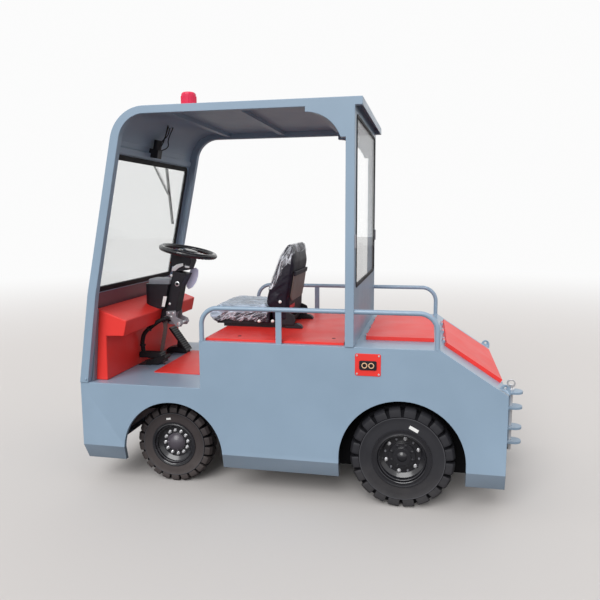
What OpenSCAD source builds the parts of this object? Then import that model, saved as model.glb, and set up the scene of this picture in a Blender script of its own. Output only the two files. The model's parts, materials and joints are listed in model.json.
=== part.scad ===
// Airport baggage tug: a four-wheeled electric tow tractor with an open-sided cab.
// The datum of every module is the ground below the middle of the rear axle, with +X forward,
// +Y to the driver's left and +Z up. in_frame() moves that datum so that the origin of the part
// is the middle of its footprint.

/* [Body] */
// Front plate, ahead of the rear axle
body_front = 1775; // [1740:5:1900]
// Rear plate, behind the rear axle
body_rear = 506; // [480:2:560]
// Width over the side panels
body_w = 1148; // [1140:2:1200]
// Height of the lower edge of the skirt
skirt_z = 147; // [120:1:170]
// Height of the fold above the skirt
fold_z = 225; // [215:1:240]
// How far the skirt leans in below its fold
fold_in = 20; // [5:1:30]
// Depth of the flange that turns back along the foot of the front skirt
return_w = 50; // [20:1:70]
// Depth of the lips turned in around the wheel arches
lip_w = 25; // [10:1:30]
// Thickness of those lips
lip_t = 3; // [2:1:5]
// Height of the cab floor
floor_z = 586; // [575:1:620]
// Height of the deck over the battery
deck_z = 843; // [800:1:880]
// Thickness of the body plates
plate_t = 6; // [4:1:8]
// Front face of the seat box
box_front = 1070; // [1040:5:1090]
// Where the flat deck ends and the tail slopes down, behind the rear axle
ridge_x = 178; // [150:2:200]
// Height of the lower end of the sloping tail
tail_z = 629; // [600:1:680]
// Width of the flanges that carry the lids
flange_w = 44; // [36:1:50]

/* [Cab] */
// How far the cab's side frames stand out of the body's sides
cab_proud = 6; // [2:1:12]
// Depth of a side frame, across the cab
hoop_d = 40; // [30:1:50]
// Height of the top of the roof
roof_z = 2062; // [1980:2:2150]
// Rear end of the roof, ahead of the rear axle
roof_rear = 211; // [180:1:230]
// Depth of the roof's edge
roof_edge = 40; // [34:1:48]
// Width of the front pillar, seen from the side
pillar_w = 48; // [40:1:56]
// Height of the knee where the pillar leans further back
knee_z = 1075; // [1050:5:1100]
// Lean of the pillar below the knee, in degrees
lower_lean = 8.4; // [6:0.1:9.4]
// Lean of the pillar above the knee, in degrees
upper_lean = 11.9; // [10:0.1:13]
// Radius of the bend from the pillar into the roof
bend_r = 195; // [150:5:220]
// Rear face of the rear pillar
rear_pillar_x = 247; // [240:1:260]
// Width of the rear pillar, seen from the side
rear_pillar_w = 45; // [40:1:52]
// Radius of the hollow in the gusset under the roof
gusset_r = 185; // [150:5:200]
// Thickness of the cab's sheet metal
skin_t = 4; // [3:1:6]
// Thickness of the window glass
glass_t = 5; // [4:1:6]
// Width of the screen panel beside the windscreen
screen_border = 44; // [30:1:70]
// Height of the windscreen's lower edge
screen_low = 1096; // [1090:2:1130]
// Height of the windscreen's upper edge
screen_high = 1820; // [1760:5:1840]
// Width of the rear wall beside its window
glass_border = 37; // [30:1:60]
// Height of the rear window's sill
sill_z = 1143; // [1100:1:1200]
// Height of the rear window's upper edge
rear_glass_high = 1985; // [1900:5:2000]

/* [Wheels] */
// Distance between the axles
wheelbase = 1275; // [1262:1:1290]
// Diameter of a rear tyre
rear_tyre_d = 535; // [520:1:545]
// Width of a rear tyre
rear_tyre_w = 156; // [140:2:170]
// How far the rear tyres stand back from the body's sides
rear_tyre_in = 20; // [10:1:30]
// Diameter of a front tyre
front_tyre_d = 445; // [430:1:460]
// Width of a front tyre
front_tyre_w = 116; // [100:2:124]
// How far the front tyres stand back from the body's sides
front_tyre_in = 102; // [90:1:120]
// Number of grooves in each shoulder of a rear tyre
rear_grooves = 24; // [18:1:28]
// Number of grooves in each shoulder of a front tyre
front_grooves = 22; // [16:1:26]
// Depth of the grooves
groove_depth = 14; // [8:1:18]
// Width of the smooth rib round the middle, as a share of the tyre's width
rib_share = 0.25; // [0.15:0.05:0.35]
// Radius of a rear rim at its flange
rear_rim_r = 128; // [122:1:134]
// Radius of a front rim at its flange
front_rim_r = 116; // [110:1:120]
// Distance from a front tyre's inner side to its kingpin
kingpin_in = 36; // [30:1:44]
// Length of a steering arm, from kingpin to track rod
arm_l = 110; // [95:1:125]
// Radius of the rear wheel arch
rear_arch_r = 320; // [300:2:330]
// Radius of the front wheel arch
front_arch_r = 286; // [270:2:295]

/* [Seat and controls] */
// How far the deck lid's sides stand back from the body's sides
deck_lid_in = 36; // [34:1:60]
// Depth of the folded edge of the deck lid
deck_lid_t = 13; // [10:1:18]
// How far the rear lids' sides stand back from the body's sides
rear_lid_in = 202; // [180:1:230]
// Depth of the folded edge of the rear lids
rear_lid_t = 20; // [14:1:26]
// Width of the seat cushion
seat_w = 450; // [400:5:500]
// Nose of the cushion, ahead of the rear axle
seat_nose = 1146; // [1120:2:1160]
// Depth of the cushion from nose to rear
seat_depth = 378; // [360:2:390]
// Height of the cushion's sides over its frame
cushion_h = 78; // [66:2:90]
// Height of the seat's frame over the deck lid
seat_rise = 46; // [40:1:60]
// Height of the top of the back rest
back_top = 1350; // [1320:2:1380]
// Depth of the back rest behind the cushion
back_d = 130; // [120:2:150]
// Diameter of the steering wheel
wheel_d = 380; // [340:5:420]
// Lean of the steering wheel's axis from upright, in degrees
wheel_lean = 11.7; // [8:0.1:14]
// Lean of the column below it, in degrees
column_lean = 13; // [11:0.5:15]
// Width of the column's casing
column_w = 96; // [92:2:110]
// Width of the instrument pod
pod_w = 156; // [130:2:180]
// Diameter of the side rails' tube
rail_d = 25; // [20:1:30]
// Height of the top of the side rails
rail_z = 1034; // [980:2:1060]

/* [Hitch] */
// Tip of the hitch plates, behind the rear axle
hitch_tip = 655; // [630:1:680]
// Diameter of the hitch pin
pin_d = 22; // [18:1:28]
// Play of the pin in its holes
pin_play = 1; // [0.5:0.25:2]
// Width of a hitch plate
tongue_w = 90; // [70:2:110]
// Thickness of a hitch plate
tongue_t = 14; // [10:1:18]

/* [Hidden] */
$fn = 48;
eps = 0.01;

// Gap between pieces that move on one another
seat_gap = 0.3;
half_w = body_w / 2;
cab_half = half_w + cab_proud;
roof_half = cab_half - hoop_d;
screen_half = roof_half - screen_border;
rear_glass_half = roof_half - glass_border;
inner_y = half_w - plate_t;
rear_face_y = half_w - rear_tyre_in;
front_face_y = half_w - front_tyre_in;
kingpin_y = front_face_y - front_tyre_w - kingpin_in;
deck_lid_half = half_w - deck_lid_in;
rear_lid_half = half_w - rear_lid_in;
origin_x = (hitch_tip - body_front) / 2;

front_r = front_tyre_d / 2;
rear_r = rear_tyre_d / 2;
front_arch_x = wheelbase - 35;
front_arch_z = 210;
rear_arch_x = 3;
rear_arch_z = 255;

slope_a = atan2(deck_z - tail_z, body_rear - ridge_x);
slope_l = norm([deck_z - tail_z, body_rear - ridge_x]);

knee_x = body_front - (knee_z - floor_z) * tan(lower_lean);
bend_z = roof_z - bend_r;
bend_start_z = roof_z - bend_r * (1 - sin(upper_lean));
bend_x = knee_x - (bend_start_z - knee_z) * tan(upper_lean) - bend_r * cos(upper_lean);

// Middle of the steering wheel, in X and Z
wheel_mid = [1346, 1284];
// Length of the wheel's hub, below the plane of its rim
hub_l = 30;

rail_y = half_w - rail_d / 2;
pin_x = hitch_tip - 65;

module in_frame() {
    translate([origin_x, 0, 0]) children();
}

// A flat outline drawn in X and Z, as a plate from y to y + t
module xz_plate(y, t) {
    translate([0, y + t, 0]) rotate([90, 0, 0]) linear_extrude(t) children();
}

// A section drawn in Y and Z, as a bar from x to x + l
module yz_bar(x, l) {
    translate([x, 0, 0]) rotate([90, 0, 90]) linear_extrude(l) children();
}

module block(low, high) {
    translate(low) cube(high - low);
}

module both_sides() {
    children();
    mirror([0, 1, 0]) children();
}

module on_side(s) {
    if (s > 0) children();
    else mirror([0, 1, 0]) children();
}

// The frame of the sloping tail: its X runs up the slope to the ridge, its Z stands out of it
module on_slope() {
    translate([-ridge_x, 0, deck_z]) rotate([0, -slope_a, 0]) children();
}

module y_cylinder(x, y, z, r, l) {
    translate([x, y + l, z]) rotate([90, 0, 0]) cylinder(r = r, h = l);
}

// A flat rectangle with round corners
module rounded(low, high, r) {
    translate([low[0] + r, low[1]]) square([high[0] - low[0] - 2 * r, high[1] - low[1]]);
    translate([low[0], low[1] + r]) square([high[0] - low[0], high[1] - low[1] - 2 * r]);
    for (x = [low[0] + r, high[0] - r], y = [low[1] + r, high[1] - r]) translate([x, y]) circle(r);
}

hinge_r = 6;
hinge_pin_r = 3;
hinge_l = 30;
// Height of a lid's hinge axis over the sheet, and its distance from the lid's edge
hinge_up = 8;
hinge_out = 7;
HINGE_Y = [-0.72, 0, 0.72];

// A hinge about Y at the origin. Its fixed half is two knuckles on legs, with the pin through them
module hinge_fixed() {
    y_cylinder(0, -1.5 * hinge_l, 0, hinge_pin_r, 3 * hinge_l);
    for (y = [-1.5 * hinge_l, 0.5 * hinge_l + 0.5]) {
        y_cylinder(0, y, 0, hinge_r, hinge_l - 0.5);
        block([-hinge_r, y, -hinge_up], [hinge_r, y + hinge_l - 0.5, 0]);
    }
}

// Its moving half is the knuckle between them, with a leaf towards the lid at -X
module hinge_moving() {
    difference() {
        union() {
            y_cylinder(0, -hinge_l / 2, 0, hinge_r, hinge_l);
            block([-hinge_out - 1, -hinge_l / 2, 0], [0, hinge_l / 2, hinge_r]);
        }
        y_cylinder(0, -hinge_l, 0, hinge_pin_r + 0.05, 2 * hinge_l);
    }
}

module hinge_row(half) {
    for (share = HINGE_Y) translate([0, share * half, 0]) children();
}

// Chassis

rail_frame_y = 150;
rail_frame_w = 50;
rail_frame_low = 330;
rail_frame_high = 450;

module chassis_frame() {
    color("#2b2d30") {
        both_sides()
            yz_bar(-body_rear + plate_t, body_front + body_rear - 2 * plate_t)
                difference() {
                    translate([rail_frame_y, rail_frame_low])
                        square([rail_frame_w, rail_frame_high - rail_frame_low]);
                    translate([rail_frame_y + 8, rail_frame_low + 8])
                        square([rail_frame_w, rail_frame_high - rail_frame_low - 16]);
                }
        // Cross members between the rails, each a hollow box
        for (x = [-440, 330, 1000, wheelbase - 40, 1640])
            difference() {
                block([x, -rail_frame_y, rail_frame_low + 20], [x + 80, rail_frame_y, rail_frame_high - 20]);
                block([x + 6, -rail_frame_y - 1, rail_frame_low + 26],
                      [x + 74, rail_frame_y + 1, rail_frame_high - 26]);
            }
        // Outriggers from the rails to the side panels
        both_sides()
            for (x = [560, 900, 1600])
                block([x, rail_frame_y + rail_frame_w, rail_frame_high - 60], [x + 60, inner_y, rail_frame_high]);
    }
}

// Body panels

module arch_outline(x, z, r) {
    translate([x, z]) circle(r, $fn = 96);
    translate([x - r, z - 200]) square([2 * r, 200]);
}

module arches() {
    arch_outline(front_arch_x, front_arch_z, front_arch_r);
    arch_outline(rear_arch_x, rear_arch_z, rear_arch_r);
}

module side_outline() {
    difference() {
        polygon([
            [-body_rear, fold_z], [body_front, fold_z], [body_front, floor_z], [box_front, floor_z],
            [box_front, deck_z], [-ridge_x, deck_z], [-body_rear, tail_z]
        ]);
        arches();
    }
}

// An arch's outline, grown by a distance and clipped to the skirt's foot
module arch_lip_outline(x, z, r) {
    difference() {
        union() {
            translate([x, z]) circle(r + lip_t, $fn = 96);
            translate([x - r - lip_t, skirt_z]) square([2 * (r + lip_t), z - skirt_z]);
        }
        arch_outline(x, z, r);
    }
}

// The panel's section, from a depth to another, with the skirt leaning in below its fold
module side_section(from, to) {
    polygon([
        [half_w - from, deck_z], [half_w - from, fold_z], [half_w - from - fold_in, skirt_z],
        [half_w - to - fold_in, skirt_z], [half_w - to, fold_z], [half_w - to, deck_z]
    ]);
}

module side_panel(s) {
    color("#8fa3b8") on_side(s) {
        xz_plate(inner_y, plate_t) side_outline();
        // The skirt below the fold, cut back at the front corner
        intersection() {
            yz_bar(-body_rear, body_front + body_rear)
                polygon([
                    [half_w, fold_z], [half_w - fold_in, skirt_z],
                    [inner_y - fold_in, skirt_z], [inner_y, fold_z]
                ]);
            xz_plate(half_w - 100, 110)
                difference() {
                    polygon([
                        [-body_rear, fold_z], [body_front, fold_z],
                        [body_front - fold_in, skirt_z], [-body_rear, skirt_z]
                    ]);
                    arches();
                }
        }
        // Lips turned in around the arches
        intersection() {
            xz_plate(half_w - 100, 110) {
                arch_lip_outline(front_arch_x, front_arch_z, front_arch_r);
                arch_lip_outline(rear_arch_x, rear_arch_z, rear_arch_r);
            }
            yz_bar(-body_rear, body_front + body_rear) side_section(plate_t - 1, lip_w);
        }
    }
}

lamp_y = half_w - 174;
lamp_z = 430;
lamp_r = 70;

// Section of a cross plate between the side panels, narrowing below their fold
module skirt_section(top) {
    polygon(concat(
        top > fold_z ? [[-inner_y, top], [inner_y, top]] : [],
        [[inner_y, fold_z], [inner_y - fold_in, skirt_z], [-inner_y + fold_in, skirt_z], [-inner_y, fold_z]]
    ));
}

module front_plate() {
    color("#8fa3b8") {
        difference() {
            block([body_front - plate_t, -inner_y, fold_z], [body_front, inner_y, floor_z]);
            for (y = [-lamp_y, lamp_y])
                translate([body_front - 20, y, lamp_z]) rotate([0, 90, 0]) cylinder(r = lamp_r, h = 40);
        }
        // The skirt leans back below the fold, narrows to meet the side skirts and turns back at its foot
        intersection() {
            xz_plate(-inner_y, 2 * inner_y)
                polygon([
                    [body_front, fold_z], [body_front - fold_in, skirt_z],
                    [body_front - fold_in - return_w, skirt_z], [body_front - fold_in - return_w, skirt_z + plate_t],
                    [body_front - fold_in * 0.92 - plate_t, skirt_z + plate_t], [body_front - plate_t, fold_z]
                ]);
            yz_bar(body_front - 200, 220) skirt_section(fold_z);
        }
    }
}

tail_lamp_y = half_w - 104;
tail_lamp_z = 540;

module rear_plate() {
    color("#8fa3b8")
        difference() {
            yz_bar(-body_rear, plate_t) skirt_section(tail_z - plate_t / cos(slope_a));
            for (y = [-tail_lamp_y, tail_lamp_y])
                block([-body_rear - 1, y - 50, tail_lamp_z - 30], [-body_rear + plate_t + 1, y + 50, tail_lamp_z + 30]);
        }
}

hatch_low = 1085;
hatch_high = 1465;
hatch_half = 300;
hatch_lap = 12;

module floor_plate() {
    color("#8fa3b8")
        difference() {
            block([box_front - plate_t, -inner_y, floor_z - plate_t], [body_front - plate_t, inner_y, floor_z]);
            block([hatch_low + hatch_lap, -hatch_half + hatch_lap, floor_z - 20],
                  [hatch_high - hatch_lap, hatch_half - hatch_lap, floor_z + 1]);
        }
}

module floor_hatch() {
    color("#e23c32") translate([0, 0, floor_z])
        linear_extrude(4) rounded([hatch_low, -hatch_half], [hatch_high, hatch_half], 12);
}

bulkhead_x = 262;

module seat_box() {
    color("#8fa3b8") {
        block([box_front - plate_t, -inner_y, floor_z], [box_front, inner_y, deck_z]);
        // The flange that the deck lid lies on
        difference() {
            block([bulkhead_x, -inner_y, deck_z - plate_t], [box_front - plate_t, inner_y, deck_z]);
            block([bulkhead_x + 70, -inner_y + flange_w, deck_z - 20],
                  [box_front - plate_t - flange_w, inner_y - flange_w, deck_z + 1]);
        }
        translate([deck_lid_low - hinge_out, 0, deck_z + hinge_up]) hinge_row(deck_lid_half) hinge_fixed();
    }
}

rear_lid_low = -150;
rear_lid_high = 205;
lid_lap = 16;
slope_lid_top = 30;
slope_lid_low = 24;

module rear_deck() {
    color("#8fa3b8") {
        difference() {
            union() {
                block([-ridge_x, -inner_y, deck_z - plate_t], [bulkhead_x, inner_y, deck_z]);
                xz_plate(-inner_y, 2 * inner_y)
                    polygon([
                        [-ridge_x, deck_z], [-body_rear, tail_z], [-body_rear, tail_z - plate_t / cos(slope_a)],
                        [-ridge_x, deck_z - plate_t / cos(slope_a)]
                    ]);
            }
            block([rear_lid_low + lid_lap, -rear_lid_half + lid_lap, deck_z - 20],
                  [rear_lid_high - lid_lap, rear_lid_half - lid_lap, deck_z + 1]);
            on_slope()
                block([-slope_l + slope_lid_low + lid_lap, -rear_lid_half + lid_lap, -20],
                      [-slope_lid_top - lid_lap, rear_lid_half - lid_lap, 1]);
        }
        translate([rear_lid_high + hinge_out, 0, deck_z + hinge_up]) hinge_row(rear_lid_half) hinge_fixed();
        on_slope() translate([-slope_lid_top + hinge_out, 0, hinge_up]) hinge_row(rear_lid_half) hinge_fixed();
    }
}

// Faces of the dash: its foot at the floor, the upright face, the top's front and rear edges
dash_half = roof_half - 30;
dash_face = 1640;
dash_back = 1725;
dash_top = 976;
dash_rise = 17;
// The ledge's nose: how far its lower and its upper edge reach back from the face, and their heights
box_low = [106, 838];
box_high = [126, 929];

module dash() {
    back_top = [dash_back - 30, dash_top + dash_rise];
    color("#e23c32")
        xz_plate(-dash_half, 2 * dash_half)
            polygon([
                [dash_back, floor_z], [dash_face + 4, floor_z], [dash_face, box_low[1]],
                [dash_face - box_low[0], box_low[1] + 3], [dash_face - box_high[0], box_high[1]], back_top
            ]);
}

// Cab

gusset_l = 245;
gusset_drop = 148;
gusset_lip = 25;

// The cab seen from the side, filled: its pillar's edge lies a distance in from the outside and its
// roof's edge another. The bend between them is one arc, slid along the pillar to meet both
module cab_fill(post_in, roof_in) {
    drop = post_in > 0 ? 1 : 0;
    slide = (post_in - roof_in) / cos(upper_lean);
    bend = [bend_x - slide * sin(upper_lean), bend_z + slide * cos(upper_lean)];
    r = bend_r - post_in;
    polygon([
        [body_front - post_in / cos(lower_lean) + drop * tan(lower_lean), floor_z - drop],
        [knee_x - post_in / cos((lower_lean + upper_lean) / 2), knee_z],
        bend + r * [cos(upper_lean), sin(upper_lean)], bend, [bend[0], roof_z - roof_in],
        [roof_rear - drop, roof_z - roof_in], [roof_rear - drop, floor_z - drop]
    ]);
    translate(bend) circle(r, $fn = 128);
}

// A band along that outline: the pillar and the roof's edge
module cab_band(post_w, roof_w) {
    difference() {
        cab_fill(0, 0);
        cab_fill(post_w, roof_w);
    }
}

module cab_side_outline() {
    cab_band(pillar_w, roof_edge);
    translate([rear_pillar_x, deck_z]) square([rear_pillar_w, roof_z - deck_z - 1]);
    difference() {
        translate([rear_pillar_x, roof_z - roof_edge - gusset_drop])
            square([gusset_l, gusset_drop + roof_edge / 2]);
        translate([rear_pillar_x + gusset_l, roof_z - roof_edge - gusset_lip - gusset_r]) circle(gusset_r, $fn = 96);
    }
}

module cab_side(s) {
    color("#8fa3b8") on_side(s)
        xz_plate(cab_half - hoop_d, hoop_d) cab_side_outline();
}

ROOF_RIB_X = [460, 850, 1230];
rib_h = 24;
rib_w = 36;

module roof() {
    color("#8fa3b8") {
        xz_plate(-roof_half, 2 * roof_half)
            intersection() {
                cab_band(skin_t, skin_t);
                translate([0, bend_start_z]) square([body_front, bend_r]);
            }
        // Rear edge and the ribs below the skin
        block([roof_rear, -roof_half, roof_z - roof_edge], [roof_rear + skin_t, roof_half, roof_z - skin_t]);
        for (x = ROOF_RIB_X)
            block([x, -roof_half, roof_z - skin_t - rib_h], [x + rib_w, roof_half, roof_z - skin_t]);
    }
}

module screen_panel() {
    color("#8fa3b8")
        difference() {
            xz_plate(-roof_half, 2 * roof_half)
                intersection() {
                    cab_band(skin_t, skin_t);
                    translate([body_front / 2, floor_z]) square([body_front, bend_start_z - floor_z]);
                }
            block([body_front - 400, -screen_half, screen_low], [body_front, screen_half, screen_high]);
            on_screen() translate([-20, 0, 0]) rotate([0, 90, 0]) cylinder(r = spindle_r + 0.5, h = 60);
        }
}

// The windscreen fills its opening, set back from the outside of the panel
module windscreen() {
    color("#9fb4b8", 0.4)
        xz_plate(-screen_half, 2 * screen_half)
            intersection() {
                cab_band(glass_t, glass_t);
                translate([body_front / 2, screen_low]) square([body_front, screen_high - screen_low]);
            }
}

module rear_wall() {
    color("#8fa3b8")
        difference() {
            block([rear_pillar_x, -roof_half, deck_z], [rear_pillar_x + skin_t, roof_half, roof_z - skin_t]);
            block([rear_pillar_x - 1, -rear_glass_half, sill_z],
                  [rear_pillar_x + skin_t + 1, rear_glass_half, rear_glass_high]);
        }
}

module rear_glass() {
    color("#9fb4b8", 0.4)
        block([rear_pillar_x, -rear_glass_half, sill_z], [rear_pillar_x + glass_t, rear_glass_half, rear_glass_high]);
}

rail_front = 1057;
rail_rear = -164;
rail_bend = 90;

rail_post_x = 622;
rail_post = [31, 10];

module side_rail() {
    top = rail_z - rail_d / 2;
    for (x = [rail_rear, rail_front])
        translate([x, rail_y, deck_z]) cylinder(d = rail_d, h = top - rail_bend - deck_z);
    translate([rail_rear + rail_bend, rail_y, top]) rotate([0, 90, 0])
        cylinder(d = rail_d, h = rail_front - rail_rear - 2 * rail_bend);
    translate([rail_front - rail_bend, rail_y, top - rail_bend]) rotate([90, 0, 0])
        rotate_extrude(angle = 90) translate([rail_bend, 0]) circle(d = rail_d);
    translate([rail_rear + rail_bend, rail_y, top - rail_bend]) rotate([90, 0, 0]) rotate([0, 0, 90])
        rotate_extrude(angle = 90) translate([rail_bend, 0]) circle(d = rail_d);
    // The flat post halfway
    block([rail_post_x, rail_y - rail_post[1] / 2, deck_z], [rail_post_x + rail_post[0], rail_y + rail_post[1] / 2, top]);
}

// The rails stop at the rear pillar, which they are welded to
module side_rails() {
    color("#8fa3b8") both_sides()
        difference() {
            side_rail();
            block([rear_pillar_x, 0, deck_z + 1], [rear_pillar_x + rear_pillar_w, cab_half, roof_z]);
        }
}

beacon_x = 1315;
beacon_r = 46;
beacon_ribs = 20;

module beacon_base() {
    color("#2b2d30") translate([beacon_x, 0, roof_z])
        rotate_extrude()
            polygon([[0, 0], [beacon_r + 8, 0], [beacon_r + 8, 6], [beacon_r + 2, 14], [beacon_r + 2, 24], [0, 24]]);
}

// The lens: a slightly tapering cup with a rounded top edge, and ribs that stand out of it
module beacon_lens() {
    h = 146;
    edge_r = 16;
    color("#e0203c") translate([beacon_x, 0, roof_z + 24]) {
        rotate_extrude() {
            polygon([[0, 0], [beacon_r, 0], [beacon_r - 2, h - edge_r], [0, h - edge_r]]);
            translate([0, h - edge_r - 1]) square([beacon_r - 2 - edge_r, edge_r + 1]);
            intersection() {
                translate([beacon_r - 2 - edge_r, h - edge_r]) circle(edge_r);
                square([beacon_r, h]);
            }
        }
        for (i = [0:beacon_ribs - 1])
            rotate([0, 0, i * 360 / beacon_ribs]) translate([beacon_r - 6, -1.5, 8]) cube([7, 3, h - edge_r - 16]);
    }
}

wiper_y = 83;
wiper_z = 1875;
spindle_r = 8;

// The frame of the windscreen at the wiper: its X points out of the cab, its origin is on the inside face
module on_screen() {
    translate([knee_x - (wiper_z - knee_z) * tan(upper_lean) - skin_t / cos(upper_lean), wiper_y, wiper_z])
        rotate([0, -upper_lean, 0]) children();
}

// Arm and blade, each by its start in Y and Z, its length and its turn about the spindle's axis
WIPER_ARM = [[0, 0], 456, -58.3];
WIPER_BLADE = [[-277, -67], 445, -33.4];

module wiper() {
    color("#1f2022") on_screen() {
        // Motor and gearbox behind the panel
        block([-56, -29, -24], [-seat_gap, 29, 26]);
        translate([-34, 0, 20]) cylinder(r = 24, h = 62);
        translate([-20, 0, 0]) rotate([0, 90, 0]) cylinder(r = spindle_r, h = skin_t + 44);
        translate([skin_t + 2, 0, 0]) rotate([0, 90, 0]) cylinder(r1 = 17, r2 = 13, h = 14);
        translate([0, WIPER_ARM[0][0], WIPER_ARM[0][1]]) rotate([WIPER_ARM[2], 0, 0])
            block([skin_t + 15, -6, -WIPER_ARM[1]], [skin_t + 21, 6, 14]);
        translate([0, WIPER_BLADE[0][0], WIPER_BLADE[0][1]]) rotate([WIPER_BLADE[2], 0, 0])
            translate([skin_t, 0, -WIPER_BLADE[1]]) linear_extrude(WIPER_BLADE[1])
                polygon([[1, -2], [7, -2], [7, -6], [17, -5], [17, 5], [7, 6], [7, 2], [1, 2]]);
    }
}

// Controls

// The frame of the column: its Z points down it, its origin is at the casing's lower end
casing_low = [1455, 915];
casing_l = 250;
casing_d = 66;
casing_flare = 25;

module on_column() {
    translate([casing_low[0], 0, casing_low[1]]) rotate([0, 180 - column_lean, 0]) children();
}

// The frame of the steering wheel: its Z points up the wheel's axis, its origin is the wheel's middle
module on_wheel() {
    translate([wheel_mid[0], 0, wheel_mid[1]]) rotate([0, -wheel_lean, 0]) children();
}

// The ledge's nose at a height, less the gap that pieces keep from it
function nose_x(z) =
    dash_face - box_low[0] - seat_gap
    - (box_high[0] - box_low[0]) * (z - box_low[1] - 3) / (box_high[1] - box_low[1] - 3);

module casing_outline() {
    rotate([0, 0, column_lean])
        polygon([
            [-casing_d / 2, 0], [casing_d / 2, 0], [casing_d / 2, casing_l],
            [-casing_d / 2 - casing_flare, casing_l], [-casing_d / 2, casing_l - 85]
        ]);
}

module steering_column() {
    color("#1f2022") {
        // Casing, and the switch housing that reaches up to the wheel's hub
        translate([casing_low[0], 0, casing_low[1]]) xz_plate(-column_w / 2, column_w) casing_outline();
        intersection() {
            on_wheel() block([-150, -column_w / 2, -150], [150, column_w / 2, -hub_l]);
            xz_plate(-column_w / 2, column_w)
                polygon([
                    [wheel_mid[0] - 34, 1300], [wheel_mid[0] - 34, 1222], [wheel_mid[0] - 12, 1172],
                    [wheel_mid[0] + 80, 1160], [wheel_mid[0] + 90, 1200], [wheel_mid[0] + 90, 1300]
                ]);
        }
        // The steering unit below the casing, on a bracket from the dash's ledge
        on_column() cylinder(r = 30, h = 84);
        for (y = [-44, 36])
            xz_plate(y, 8)
                polygon([
                    [casing_low[0] - 20, 950], [casing_low[0] + 16, 960], [casing_low[0] + 27, 930],
                    [nose_x(925), 925], [nose_x(862), 862], [casing_low[0] + 60, 838], [casing_low[0] + 5, 850]
                ]);
    }
}

pod_top = 1095;
pod_front = 1612;

module instrument_pod() {
    r = 24;
    color("#1f2022")
        difference() {
            union() {
                xz_plate(-pod_w / 2, pod_w) {
                    polygon([
                        [casing_low[0], pod_top], [pod_front - r, pod_top], [pod_front, pod_top - r],
                        [pod_front, 990], [pod_front - 10, 972], [pod_front - 98, 936], [casing_low[0], 936]
                    ]);
                    translate([pod_front - r, pod_top - r]) circle(r);
                    translate([pod_front - r, 990]) circle(r);
                }
            }
            translate([casing_low[0], 0, casing_low[1]])
                xz_plate(-pod_w, 2 * pod_w)
                    rotate([0, 0, column_lean])
                        translate([-400, -100]) square([400 + casing_d / 2 + seat_gap, casing_l + 300]);
        }
}

organ_foot = [1470, floor_z + 12];
organ_a = 54;
organ_l = 195;
brake_pad = [1500, 658];

module pedals() {
    color("#1f2022") {
        // Accelerator: a treadle that leans up towards the front, hinged at the floor
        translate([organ_foot[0], -300, organ_foot[1]]) rotate([0, -organ_a, 0]) cube([organ_l, 96, 12]);
        block([organ_foot[0], -290, floor_z], [organ_foot[0] + 24, -214, organ_foot[1] + 6]);
        xz_plate(-262, 20)
            polygon([
                [organ_foot[0] + 20, floor_z], [organ_foot[0] + 86, floor_z],
                [organ_foot[0] + 66, floor_z + 92], [organ_foot[0] + 14, floor_z + 14]
            ]);
        // Brake: a boss beside the column's bracket, the arm and the pad
        y_cylinder(brake_pad[0] - 16, 44 + seat_gap, 870, 15, 34);
        xz_plate(62, 12)
            polygon([
                [brake_pad[0] - 30, 874], [brake_pad[0] - 2, 874], [brake_pad[0] - 4, 800],
                [brake_pad[0] + 24, brake_pad[1] + 10], [brake_pad[0] + 6, brake_pad[1] - 14], [brake_pad[0] - 26, 800]
            ]);
        translate([brake_pad[0], 52, brake_pad[1]]) rotate([0, 22, 0])
            block([0, 0, -62], [12, 74, 4]);
        // Mat under the pedals
        block([organ_foot[0] + 90, -300, floor_z], [dash_face, 140, floor_z + 5]);
    }
}

socket_low = [110, 699];
socket_size = [130, 114];
insert_low = socket_low + [21, 31];
insert_size = [87, 47];

module socket_plate() {
    color("#e23c32")
        difference() {
            xz_plate(half_w, 3) rounded(socket_low, socket_low + socket_size, 10);
            xz_plate(half_w - 1, 6) rounded(insert_low, insert_low + insert_size, 8);
        }
}

module charge_socket() {
    color("#1f2022")
        difference() {
            xz_plate(half_w, 8) rounded(insert_low, insert_low + insert_size, 8);
            // Two pole chambers with their contact pins left standing
            for (x = [-17, 17])
                translate([insert_low[0] + insert_size[0] / 2 + x, half_w + 2, insert_low[1] + insert_size[1] / 2])
                    rotate([-90, 0, 0])
                        difference() {
                            cylinder(r = 11, h = 20);
                            translate([0, 0, -1]) cylinder(r = 4, h = 5);
                        }
        }
}

// Bowl, rim and a domed lens that ends flush with the front plate
module headlamps() {
    r = lamp_r - seat_gap;
    dome_r = 180;
    color("#e8e8e2")
        for (y = [-lamp_y, lamp_y])
            translate([body_front, y, lamp_z]) rotate([0, 90, 0])
                rotate_extrude() {
                    polygon([[0, -70], [26, -66], [52, -44], [r - 4, -20], [r - 4, -12], [0, -12]]);
                    translate([r - 8, -22]) square([8, 22]);
                    intersection() {
                        translate([0, -4 - dome_r]) circle(dome_r, $fn = 128);
                        translate([0, -24]) square([r - 6, 24]);
                    }
                }
}

module tail_lamps() {
    color("#b02020")
        for (y = [-tail_lamp_y, tail_lamp_y])
            block([-body_rear, y - 50, tail_lamp_z - 30], [-body_rear + 30, y + 50, tail_lamp_z + 30]);
}

// Hitch

// Undersides of the hitch plates
TONGUE_Z = [199, 283, 402, 490];
base_t = 12;

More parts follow.
